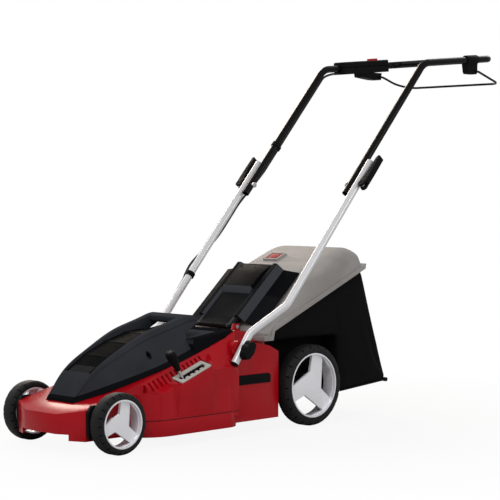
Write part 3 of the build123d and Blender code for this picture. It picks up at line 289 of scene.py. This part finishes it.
# Flap, in metres: its hinge, and the cosine and sine of its slope
HINGE_D, HINGE_Z = 0.507, 0.291
SLOPE_COS, SLOPE_SIN = 0.7443, 0.6678
# Grip pad, raised borders and side steps, which take painted highlight: spans along the slope, out from
# the middle and up from the slope
PAD_START, PAD_END, PAD_HALF, PAD_UP = 0.1225, 0.1425, 0.0565, 0.0037
BORDER_IN, BORDER_OUT, BORDER_UP = 0.0575, 0.0665, 0.0025
STEP_IN, STEP_OUT, STEP_UP = 0.0805, 0.0915, -0.018


def flap_moulding(name, tint):
    """Satin moulding with painted highlight on the grip pad's front, the raised borders and the side
    steps, and painted shade darkest above the pad.
    """
    finish = Finish(name, Specular_IOR_Level=0.01)
    x, d, z = finish.axis("X"), finish.axis("Y") - FRONT_AXLE_Y, finish.axis("Z")
    out, run, rise = x.math("ABSOLUTE", x), d - HINGE_D, z - HINGE_Z
    along, up = run * SLOPE_COS + rise * SLOPE_SIN, rise * SLOPE_COS - run * SLOPE_SIN
    # painted highlight on the pad's front, the raised borders and the side steps
    pad = along.above(PAD_START) * (1.0 - along.above(PAD_END))
    pad = pad * up.above(PAD_UP) * (1.0 - out.above(PAD_HALF))
    border = out.above(BORDER_IN) * (1.0 - out.above(BORDER_OUT)) * up.above(BORDER_UP)
    step = out.above(STEP_IN) * (1.0 - out.above(STEP_OUT)) * up.above(STEP_UP)
    # painted shade: darker above the pad
    low = finish.shades(along.above(PAD_END), scaled(tint, 0.45), scaled(tint, 0.25))
    finish.drive(
        Base_Color=finish.shades((pad + border + step).clamp(), low, scaled(tint, 2.7)),
        Roughness=0.45 + 0.14 * finish.noise(46.0, 3.0),
    )
    finish.relief(finish.noise(1400.0, 2.0), 0.00022, 0.5)
    return finish.material


def tyre_rubber(name, tint):
    """Dull rubber with a dusty bloom."""
    finish = Finish(name, Specular_IOR_Level=0.22)
    dust = finish.noise(26.0, 5.0) ** 2.0
    finish.drive(
        Base_Color=finish.shades(dust, tint, scaled(tint, 3.2)),
        Roughness=0.52 + 0.24 * finish.noise(70.0, 3.0),
    )
    finish.relief(finish.noise(900.0, 3.0), 0.0003, 0.4)
    return finish.material


def silver_lacquer(name, tint):
    """Silver lacquer with fine metal flake."""
    finish = Finish(name, Coat_Roughness=0.12)
    flake = finish.noise(2600.0, 1.0)
    finish.drive(
        Base_Color=finish.shades(flake, scaled(tint, 0.88), scaled(tint, 1.1)),
        Metallic=0.18 + 0.16 * flake,
        Roughness=0.3 + 0.1 * finish.noise(30.0, 3.0),
        Coat_Weight=0.3 * (0.7 + 0.5 * finish.noise(9.0)).clamp(),
    )
    finish.relief(flake, 0.00005, 0.3)
    return finish.material


def bare_metal(name, tint, rough=0.24, stretch=(1, 1, 1), scale=420.0):
    """Drawn or rolled metal with fine lines and faint tarnish."""
    finish = Finish(name)
    lines = finish.noise(scale, 3.0, stretch)
    finish.drive(
        Base_Color=finish.shades(finish.noise(16.0, 4.0), scaled(tint, 0.84), scaled(tint, 1.06)),
        Metallic=1.0 - 0.06 * lines,
        Roughness=rough - 0.06 + 0.16 * lines,
    )
    finish.relief(lines, 0.00005, 0.35)
    return finish.material


def woven_cloth(name, tint):
    """Coated cloth in a fine diagonal twill."""
    finish = Finish(name, Specular_IOR_Level=0.06)
    x, y, z = (finish.axis(part) for part in "XYZ")
    ridge = ((x + y * 0.8 + z) * 2600.0).sine()
    cross = ((x - y * 1.1 - z * 0.9) * 3400.0).sine()
    weave = (0.5 + 0.32 * ridge + 0.18 * cross).clamp()
    worn = finish.noise(9.0, 4.0)
    finish.drive(
        Base_Color=finish.shades((weave * (0.5 + worn)).clamp(), scaled(tint, 0.6), scaled(tint, 2.1)),
        Roughness=0.6 + 0.2 * weave,
    )
    finish.relief(weave, 0.0003, 0.7)
    return finish.material


def cable_sheath(name, tint):
    """Smooth rubber cable sheath."""
    finish = Finish(name)
    finish.drive(
        Base_Color=finish.shades(finish.noise(60.0, 3.0), scaled(tint, 0.8), scaled(tint, 1.8)),
        Roughness=0.4 + 0.18 * finish.noise(120.0, 3.0),
    )
    finish.relief(finish.noise(700.0), 0.0001, 0.4)
    return finish.material


# Softened edges of the pieces that don't take the mouldings' own round-over
ROUND_METAL, ROUND_PLATE, ROUND_FINE = 0.0004, 0.0005, 0.0006
ROUND_TRIM, ROUND_RIM, ROUND_CASE = 0.0008, 0.0011, 0.005
WELD_REACH = 0.00002
FLAT_ANGLE, ROUND_ANGLE = math.radians(0.5), math.radians(34)


def dress(material, names, round_over=0.0, split=32.0, hips=0.0):
    """Gives frame nodes a finish, softened edges, broad bevels on marked hips and clean shading."""
    for name in names:
        node = NODES[name]
        node.data.materials.clear()
        node.data.materials.append(material)
        for face in node.data.polygons:
            face.use_smooth = True
            face.material_index = 0
        weld = node.modifiers.new("weld", "WELD")
        weld.merge_threshold = WELD_REACH
        if hips:
            flats = node.modifiers.new("flats", "DECIMATE")
            flats.decimate_type, flats.angle_limit = "DISSOLVE", FLAT_ANGLE
            broad = node.modifiers.new("hips", "BEVEL")
            broad.width, broad.segments, broad.limit_method = hips, 6, "WEIGHT"
            broad.use_clamp_overlap = False
        if round_over:
            bevel = node.modifiers.new("round_over", "BEVEL")
            bevel.width, bevel.segments = round_over, 3
            bevel.limit_method, bevel.angle_limit = "ANGLE", ROUND_ANGLE
            bevel.use_clamp_overlap, bevel.miter_outer = True, "MITER_ARC"
        parting = node.modifiers.new("parting", "EDGE_SPLIT")
        parting.split_angle = math.radians(split)


HIP_LENGTH = 0.012  # shortest fold that is rounded
HIP_FOLD = (15, 80)  # folds that are rounded, in degrees


def mark_hips(node, above, clear):
    """Marks a node's long folds above a line, outside a clear box, for the broad bevel."""
    mesh, turns = node.data, {}
    spots = [tuple(round(part, 4) for part in vertex.co) for vertex in mesh.vertices]
    for face in mesh.polygons:
        for pair in face.edge_keys:
            turns.setdefault(frozenset(spots[i] for i in pair), []).append(face.normal)
    marks = mesh.attributes.new("bevel_weight_edge", "FLOAT", "EDGE")
    low, high = clear
    for edge, mark in zip(mesh.edges, marks.data):
        ends = [mesh.vertices[i].co for i in edge.vertices]
        normals = turns.get(frozenset(spots[i] for i in edge.vertices), ())
        if len(normals) != 2 or (ends[0] - ends[1]).length < HIP_LENGTH:
            continue
        fold = math.degrees(normals[0].angle(normals[1], 0.0))
        outside = any(not low[k] < end[k] < high[k] for end in ends for k in (0, 1))
        if HIP_FOLD[0] < fold < HIP_FOLD[1] and outside and all(above(end) for end in ends):
            mark.value = 1.0


def new_piece(name, verts, faces, material, smooth=True):
    mesh = bpy.data.meshes.new(name)
    mesh.from_pydata([tuple(v) for v in verts], [], faces)
    mesh.update()
    mesh.materials.append(material)
    for face in mesh.polygons:
        face.use_smooth = smooth
    piece = bpy.data.objects.new(name, mesh)
    bpy.context.collection.objects.link(piece)
    return piece


def applied(piece):
    """Bakes a piece's modifiers into its mesh."""
    graph = bpy.context.evaluated_depsgraph_get()
    mesh = bpy.data.meshes.new_from_object(piece.evaluated_get(graph))
    piece.modifiers.clear()
    piece.data = mesh
    return piece


def route_mesh(name, points, radius, material):
    """Round cable along a smooth spline through its route's control points."""
    curve = bpy.data.curves.new(name, "CURVE")
    curve.dimensions = "3D"
    curve.bevel_depth, curve.bevel_resolution, curve.use_fill_caps = radius, 5, True
    curve.resolution_u = 10
    spline = curve.splines.new("NURBS")
    spline.points.add(len(points) - 1)
    for point, place in zip(spline.points, points):
        point.co = (*behind(*place), 1.0)
    spline.order_u = 3
    spline.use_endpoint_u = True
    holder = bpy.data.objects.new(name + "_route", curve)
    bpy.context.collection.objects.link(holder)
    bpy.context.view_layer.update()
    graph = bpy.context.evaluated_depsgraph_get()
    mesh = bpy.data.meshes.new_from_object(holder.evaluated_get(graph))
    bpy.data.objects.remove(holder)
    mesh.name = name
    mesh.materials.clear()
    mesh.materials.append(material)
    for face in mesh.polygons:
        face.use_smooth = True
    piece = bpy.data.objects.new(name, mesh)
    bpy.context.collection.objects.link(piece)
    return piece


def both_sides(*names):
    return [f"{name}_{side}" for name in names for side in ("left", "right")]


def looks():
    return bpy.context.scene.mower_colours


def sizes():
    return bpy.context.scene.mower_sizes


# Boxes of the deck with painted shade, as corners and the share of its colour that is left: the inside
# of the lever slot, and a painted shadow line along the skirt's seam
LEVER_SLOT_SHADE = (behind(173, 202, 90), behind(187.2, 316, 215), 0.02)
# painted shadow line where the skirt's band steps out
DECK_SEAM_SHADOW = (behind(-200, 60, 71.4), behind(200, 448, 73.6), 0.25)
# Lid: edge line that its hips lie above, their rounding, and the vane's window, which has none
LID_EDGE_D, LID_EDGE_Z, LID_EDGE_RISE = 583, 0.297, 0.42
LID_HIPS = 0.016
VANE_WINDOW = (behind(-100, 785, 0), behind(-20, 870, 0))


def above_lid_edge(place):
    return place.z - LID_EDGE_Z > LID_EDGE_RISE * (place.y - behind(0, LID_EDGE_D, 0).y)


class MOWER_OT_mouldings(bpy.types.Operator):
    """Finish the deck, the cowl, the flap and the other mouldings"""

    bl_idname = "mower.mouldings"
    bl_label = "Mouldings"

    def execute(self, context):
        tint, soft = looks(), sizes().round_over
        # the deck takes painted shade in the lever slot and a painted shadow line along the skirt's seam
        deck = gloss_moulding("deck_red", tint.deck, 0.2, 0.22, dark=(LEVER_SLOT_SHADE, DECK_SEAM_SHADOW), haze=0.2)
        dress(deck, ["deck_shell"], soft)
        dress(cowl_moulding("cowl_black", tint.cowl), ["motor_cowl"], soft)
        dress(grained_moulding("panel_black", tint.panel, 0.5, 0.6, 0.003), ["cowl_panel"], ROUND_FINE)
        dress(flap_moulding("flap_black", tint.flap), ["rear_flap"], soft)
        mark_hips(NODES["bag_lid"], above_lid_edge, VANE_WINDOW)
        dress(grained_moulding("lid_grey", tint.lid, 0.6, 0.4, 0.04), ["bag_lid"], soft, hips=LID_HIPS)
        trim = grained_moulding("trim_black", tint.trim, 0.5, 0.4, 0.04)
        sided = ["front_axle_bracket", "rear_axle_bracket", "side_strip", "foot_cap", "handle_knob",
                 "clamp_lever"]
        names = both_sides(*sided)
        names += ["lever_knob", "bail_bracket", "cable_gland", "cable_clip_upper", "cable_clip_lower"]
        dress(trim, names, ROUND_TRIM)
        dress(trim, ["switch_case_top", "switch_case_bottom"], ROUND_CASE)
        signal = grained_moulding("signal_red", tint.signal, 0.5, 0.2, 0.03)
        dress(signal, ["level_vane"], ROUND_FINE)
        bright = grained_moulding("button_red", scaled(tint.signal, 1.8), 0.5, 0.2, 0.03)
        dress(bright, ["safety_button"], ROUND_FINE)
        dress(grained_moulding("plate_grey", tint.plate, 0.34, 0.2), ["height_plate"], ROUND_PLATE)
        return {"FINISHED"}


class MOWER_OT_wheels(bpy.types.Operator):
    """Finish the tyres and rims"""

    bl_idname = "mower.wheels"
    bl_label = "Wheels"

    def execute(self, context):
        tint = looks()
        rubber, silver = tyre_rubber("tyre_rubber", tint.tyre), silver_lacquer("rim_silver", tint.rim)
        dress(rubber, both_sides("front_tyre", "rear_tyre"), ROUND_FINE)
        dress(silver, both_sides("front_rim", "rear_rim"), ROUND_RIM)
        return {"FINISHED"}


TUBE_SPLIT = 40.0  # shading angle of the tubes, in degrees
MOTOR_PAINT = (0.04, 0.04, 0.045)


class MOWER_OT_metalwork(bpy.types.Operator):
    """Finish the tubes, axles, blade and fasteners"""

    bl_idname = "mower.metalwork"
    bl_label = "Metalwork"

    def execute(self, context):
        tint = looks()
        silver = silver_lacquer("tube_silver", tint.tube)
        dress(silver, both_sides("lower_tube"), split=TUBE_SPLIT)
        black = gloss_moulding("tube_black", tint.paint, 0.24, 0.06, 0.1)
        dress(black, ["upper_tube", "bail"], split=TUBE_SPLIT)
        dress(bare_metal("blade_steel", tint.steel, 0.34, (0.1, 1, 1)),
              ["blade", "rotor_shaft", "flap_pin", "lever_rod"], ROUND_METAL)
        zinc = bare_metal("zinc_plate", scaled(tint.steel, 1.1), 0.3, scale=160.0)
        names = ["front_axle", "rear_axle", "height_link", "blade_bolt"]
        names += both_sides("handle_bolt", "clamp_bolt")
        dress(zinc, names, ROUND_METAL)
        dress(grained_moulding("motor_paint", MOTOR_PAINT, 0.4, 0.4), ["motor_body"], ROUND_FINE)
        return {"FINISHED"}


def prism(outline, half):
    """Corners and faces of a side-view outline carried across the machine."""
    count = len(outline)
    verts = [behind(side * half, d, z) for side in (1, -1) for d, z in outline]
    faces = [tuple(range(count)), tuple(reversed(range(count, 2 * count)))]
    for i in range(count):
        j = (i + 1) % count
        faces.append((i, count + i, count + j, j))
    return verts, faces


# Bare plate, in millimetres: half width, thickness, share of it let in, and its ends as d and z
BADGE_HALF, BADGE_PROUD, BADGE_LET_IN = 42.0, 1.2, 0.4
BADGE_LOW, BADGE_HIGH = (17.0, 194.6), (43.0, 210.0)


class MOWER_OT_badge(bpy.types.Operator):
    """Lay the bare, glossy plate on the lowest step of the cowl's panel"""

    bl_idname = "mower.badge"
    bl_label = "Bare plate"

    def execute(self, context):
        run = Vector(BADGE_HIGH) - Vector(BADGE_LOW)
        out = Vector((-run.y, run.x)).normalized() * BADGE_PROUD
        low, high = (Vector(end) - out * BADGE_LET_IN for end in (BADGE_LOW, BADGE_HIGH))
        verts, faces = prism([tuple(p) for p in (low, low + out, high + out, high)], BADGE_HALF)
        gloss = gloss_moulding("badge_gloss", looks().badge, 0.1, 0.04, 0.03)
        plate = new_piece("badge_plate", verts, faces, gloss, False)
        rounding = plate.modifiers.new("rounding", "BEVEL")
        rounding.width, rounding.segments = 0.0005, 2
        applied(plate)
        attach(plate, "deck")
        return {"FINISHED"}


# Bag cloth, in millimetres: side outlines as d and z, and half widths
BAG_REAR = [(856, 96), (864, 81), (1064, 97), (1075, 108), (964, 436), (856, 390)]
BAG_FOOT = [(866, 86), (1071, 102)]  # ends of the piped seam on each side
BAG_HALF, NECK_HALF = 161.0, 91.0
BAG_OVER = [(594, 250), (880, 250), (880, 400), (594, 281)]
BAG_NECK = [(606, 144), (880, 128), (880, 262), (606, 262)]
BAG_EDGE_D, BAG_EDGE_Z, BAG_EDGE_RISE = 583, 279, 0.4204  # line of the lid's lower edge
HELD_BELOW_EDGE, HELD_BEFORE_D = 14, 850  # cloth held under the lid's edge and over the wheels
SEAM_TOP, SEAM_REAR_D, SEAM_IN = 0.118, 1050, 12  # cloth held along the foot seam
PRESSURE, GRAVITY_SHARE, FILL_FRAMES = 2.2, 0.35, 18
REAR_PIPING, PIPING_OVERHANG = 2.6, 3  # thickness of the rear piping, and its reach past the cloth


class MOWER_OT_bag(bpy.types.Operator):
    """Sew the cloth of the grass bag, let it sag, and pipe its seams"""

    bl_idname = "mower.bag"
    bl_label = "Bag cloth"

    def execute(self, context):
        cloth = woven_cloth("bag_cloth", looks().cloth)
        verts, faces = [], []
        for outline, half in ((BAG_REAR, BAG_HALF), (BAG_OVER, BAG_HALF), (BAG_NECK, NECK_HALF)):
            more, sides = prism(outline, half)
            faces += [tuple(len(verts) + i for i in side) for side in sides]
            verts += more
        bag = new_piece("bag_cloth", verts, faces, cloth)
        grid = bag.modifiers.new("grid", "REMESH")
        grid.mode, grid.voxel_size = "VOXEL", sizes().voxel
        evening = bag.modifiers.new("evening", "SMOOTH")
        evening.factor, evening.iterations = 0.5, 14
        applied(bag)
        self.fill(context, bag)
        smooth = bag.modifiers.new("smooth", "SUBSURF")
        smooth.levels = smooth.render_levels = 1
        applied(bag)
        bag.data.materials.clear()
        bag.data.materials.append(cloth)
        for face in bag.data.polygons:
            face.use_smooth = True
        self.pipe()
        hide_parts("bag_fabric")
        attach(bag, "bag")
        return {"FINISHED"}

    def pipe(self):
        """Piped seam round the foot of the bag, with a bead at each rear corner."""
        trim = grained_moulding("piping", looks().trim, 0.6, 0.3, 0.05)
        thick = sizes().piping
        near, far = BAG_FOOT
        end = BAG_HALF + PIPING_OVERHANG
        for name, radius, route in (
            ("piping_rear", thick * REAR_PIPING, [(-end, *far), (0, *far), (end, *far)]),
            ("piping_left", thick, [(BAG_HALF, *near), (BAG_HALF, *far)]),
            ("piping_right", thick, [(-BAG_HALF, *near), (-BAG_HALF, *far)]),
        ):
            seam = route_mesh(name, route, radius, trim)
            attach(seam, "bag")

    def fill(self, context, bag):
        """Light air pressure with lid edge, neck and foot seam held, capped near the cut shape."""
        rest = [v.co.copy() for v in bag.data.vertices]
        held = bag.vertex_groups.new(name="held")
        for index, place in enumerate(rest):
            d = (place.y - FRONT_AXLE_Y) * 1000
            below = BAG_EDGE_Z + (d - BAG_EDGE_D) * BAG_EDGE_RISE - place.z * 1000
            side = abs(place.x) * 1000 > BAG_HALF - SEAM_IN
            seam = place.z < SEAM_TOP and (d > SEAM_REAR_D or side)
            if below < HELD_BELOW_EDGE or d < HELD_BEFORE_D or seam:
                held.add([index], 1.0, "REPLACE")
        cloth = bag.modifiers.new("cloth", "CLOTH")
        cloth.settings.vertex_group_mass = "held"
        cloth.settings.use_pressure = True
        cloth.settings.uniform_pressure_force = PRESSURE
        cloth.settings.effector_weights.gravity = GRAVITY_SHARE
        scene = context.scene
        for step in range(1, FILL_FRAMES + 1):
            scene.frame_set(step)
        applied(bag)
        scene.frame_set(1)
        limit = sizes().bulge
        for vertex, start in zip(bag.data.vertices, rest):
            move = vertex.co - start
            if move.length > limit:
                vertex.co = start + move * (limit / move.length)


CLAMP = (862.3, 687.1)  # clamp bolt, d and z
LEG, THIGH = (0.6664, 0.7456), (0.6583, 0.7527)  # directions of the upper and lower tubes
UPPER_X, LOWER_X = -205.0, -228.0
CABLE_OFF = 15.2  # cable centre from the tube centre
CLIP_TOP, CLIP_FOOT = -372.5, -407.5  # ends of the lower clip, from the clamp bolt


def beside(x, s, turn=0.0, off=CABLE_OFF):
    """Cable point s above the clamp bolt, turned from behind the tube to its outer side."""
    run = LEG if s > 0 else THIGH
    back = off * math.cos(math.radians(turn))
    return (
        x - off * math.sin(math.radians(turn)),
        CLAMP[0] + s * run[0] + back * run[1],
        CLAMP[1] + s * run[1] - back * run[0],
    )


# Cable routes from the switch box to the clip on the lower tube, and from there to the motor
UPPER_ROUTE = [
    (UPPER_X, 1263.4, 1047.3), (UPPER_X, 1199.3, 1041.4), (UPPER_X, 1168.0, 1006.4),
    beside(UPPER_X, 90), beside(UPPER_X, 60), beside(LOWER_X, -60), beside(LOWER_X, -90),
    beside(LOWER_X, -200), beside(LOWER_X, -245, 50, 18), beside(LOWER_X, -290, 95, 20),
    beside(LOWER_X, -340, 100, 23), beside(LOWER_X, CLIP_TOP, 90),
]
LOWER_ROUTE = [
    beside(LOWER_X, CLIP_TOP, 90), beside(LOWER_X, CLIP_FOOT, 90), (-244, 567, 334),
    (-212, 520, 291), (-176, 492, 279), (-150, 476, 279), (-150, 476, 264),
]


class MOWER_OT_cable(bpy.types.Operator):
    """Run the motor cable down the tubes, stepping across at the handle's clamp, and on to the motor"""

    bl_idname = "mower.cable"
    bl_label = "Cable"

    def execute(self, context):
        sheath = cable_sheath("cable_sheath", looks().trim)
        upper = route_mesh("cable_on_handle", UPPER_ROUTE, sizes().cable, sheath)
        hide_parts("cable_upper", "cable_fold", "cable_lower")
        below, above = behind(*UPPER_ROUTE[5]), behind(*UPPER_ROUTE[4])
        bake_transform(upper)
        lower = route_mesh("cable_to_motor", LOWER_ROUTE, sizes().cable, sheath)
        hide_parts("cable_base")
        low, high = behind(*LOWER_ROUTE[5]), behind(*LOWER_ROUTE[2])
        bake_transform(lower)
        return {"FINISHED"}


WHITE, WARM = (1, 1, 1), (1.0, 0.86, 0.72)
LIGHTS = (  # name, place, aim, width, power, colour
    ("key", (1.6, -2.6, 3.2), (0, -0.3, 0.3), 1.6, 44.0, WHITE),
    ("side", (3.2, 1.2, 1.8), (0, 0, 0.4), 1.4, 17.0, WHITE),
    ("far", (-2.6, -1.0, 2.2), (0, -0.2, 0.4), 1.6, 18.0, WHITE),
    ("back", (-0.6, 3.0, 2.6), (0, 0.2, 0.6), 1.6, 20.0, WHITE),
    ("crown", (-2.55, 1.25, 2.2), (0, -0.6, 0.15), 1.6, 76.0, WARM),
)
FLOOR_HALF = 14.0
GLOW_NEAR, GLOW_MORE = 0.9, 0.1  # share of plain white in the floor as the camera sees it
GLOW_START, GLOW_RUN = 0.5, 0.9  # where the floor starts to whiten, and over what distance
ROOM_LIGHT = 0.55  # strength of the white room as a light; the camera sees it at 1
CAMERA_TURN, CAMERA_RISE = math.radians(45.143), math.radians(2.287)
CAMERA_FAR, CAMERA_LENS, CAMERA_SENSOR = 4.742, 117.9, 36.0
CAMERA_AIM = behind(0, 654.7, 499.0)


def facing(start, end):
    """Rotation that turns a lamp or camera at start towards end."""
    return (Vector(end) - Vector(start)).to_track_quat("-Z", "Y").to_euler()


class MOWER_OT_stage(bpy.types.Operator):
    """Set the floor, the light and the camera"""

    bl_idname = "mower.stage"
    bl_label = "Stage"

    def execute(self, context):
        context.scene.view_settings.view_transform = "Standard"
        self.lay_floor()
        self.paint_room(context)
        self.hang_lights(context)
        self.place_camera(context)
        return {"FINISHED"}

    def lay_floor(self):
        """Pale paper that whitens into the background."""
        paper = Finish("floor_paper", Roughness=0.9, Specular_IOR_Level=0.1)
        paper.drive(Base_Color=paper.shades(paper.noise(0.8), (0.5, 0.5, 0.5), (0.54, 0.54, 0.54)))
        glow = paper.node("ShaderNodeEmission", None, {"Color": (1, 1, 1, 1), "Strength": 1.0})
        seen = Tone(paper, paper.node("ShaderNodeLightPath").outputs["Is Camera Ray"])
        x, y = paper.axis("X"), paper.axis("Y")
        away = ((x * x + y * y) ** 0.5 - GLOW_START) / GLOW_RUN
        mix = paper.node("ShaderNodeMixShader", None, {0: seen * (GLOW_NEAR + GLOW_MORE * away.clamp())})
        paper.tree.links.new(paper.shader.outputs[0], mix.inputs[1])
        paper.tree.links.new(glow.outputs[0], mix.inputs[2])
        sheet = next(n for n in paper.tree.nodes if n.type == "OUTPUT_MATERIAL")
        paper.tree.links.new(mix.outputs[0], sheet.inputs[0])
        corners = [(-1, -1), (1, -1), (1, 1), (-1, 1)]
        verts = [(x * FLOOR_HALF, y * FLOOR_HALF, 0) for x, y in corners]
        new_piece("floor", verts, [(0, 1, 2, 3)], paper.material, False)

    def paint_room(self, context):
        """White background, softer as a light than as it is seen."""
        world = bpy.data.worlds.new("studio")
        world.use_nodes = True
        context.scene.world = world
        tree = world.node_tree
        room = next(n for n in tree.nodes if n.type == "BACKGROUND")
        room.inputs[0].default_value = (1, 1, 1, 1)
        path = tree.nodes.new("ShaderNodeLightPath")
        level = tree.nodes.new("ShaderNodeMapRange")
        level.inputs["To Min"].default_value = ROOM_LIGHT
        level.inputs["To Max"].default_value = 1.0
        tree.links.new(path.outputs["Is Camera Ray"], level.inputs["Value"])
        tree.links.new(level.outputs[0], room.inputs[1])

    def hang_lights(self, context):
        for name, place, aim, size, power, tint in LIGHTS:
            light = bpy.data.lights.new(name, "AREA")
            light.shape, light.size, light.energy, light.color = "DISK", size, power, tint
            lamp = bpy.data.objects.new(name, light)
            lamp.location = place
            lamp.rotation_euler = facing(place, aim)
            context.collection.objects.link(lamp)

    def place_camera(self, context):
        level = math.cos(CAMERA_RISE)
        ray = Vector(
            (math.sin(CAMERA_TURN) * level, -math.cos(CAMERA_TURN) * level, math.sin(CAMERA_RISE))
        )
        eye = bpy.data.cameras.new("eye")
        eye.sensor_width, eye.lens = CAMERA_SENSOR, CAMERA_LENS
        camera = bpy.data.objects.new("eye", eye)
        camera.location = CAMERA_AIM + ray * CAMERA_FAR
        camera.rotation_euler = facing(ray, (0, 0, 0))
        context.collection.objects.link(camera)
        context.scene.camera = camera


OPERATORS = (
    MOWER_OT_mouldings, MOWER_OT_wheels, MOWER_OT_metalwork, MOWER_OT_badge, MOWER_OT_cable,
    MOWER_OT_bag, MOWER_OT_stage,
)


class MOWER_PT_dresser(bpy.types.Panel):
    """The mower's pieces"""

    bl_idname = "MOWER_PT_dresser"
    bl_label = "Mower"
    bl_space_type = "VIEW_3D"
    bl_region_type = "UI"
    bl_category = "Mower"

    def draw(self, context):
        for group in (context.scene.mower_colours, context.scene.mower_sizes):
            box = self.layout.box()
            for name in group.__annotations__:
                box.prop(group, name)
        for operator in OPERATORS:
            self.layout.operator(operator.bl_idname)


CLASSES = (MowerColours, MowerSizes, *OPERATORS, MOWER_PT_dresser)


def register():
    for cls in CLASSES:
        bpy.utils.register_class(cls)
    bpy.types.Scene.mower_colours = PointerProperty(type=MowerColours)
    bpy.types.Scene.mower_sizes = PointerProperty(type=MowerSizes)


def unregister():
    del bpy.types.Scene.mower_sizes
    del bpy.types.Scene.mower_colours
    for cls in reversed(CLASSES):
        bpy.utils.unregister_class(cls)


def main():
    register()
    bpy.ops.mower.mouldings()
    bpy.ops.mower.wheels()
    bpy.ops.mower.metalwork()
    bpy.ops.mower.badge()
    bpy.ops.mower.cable()
    bpy.ops.mower.bag()
    bpy.ops.mower.stage()


if __name__ == "__main__":
    main()
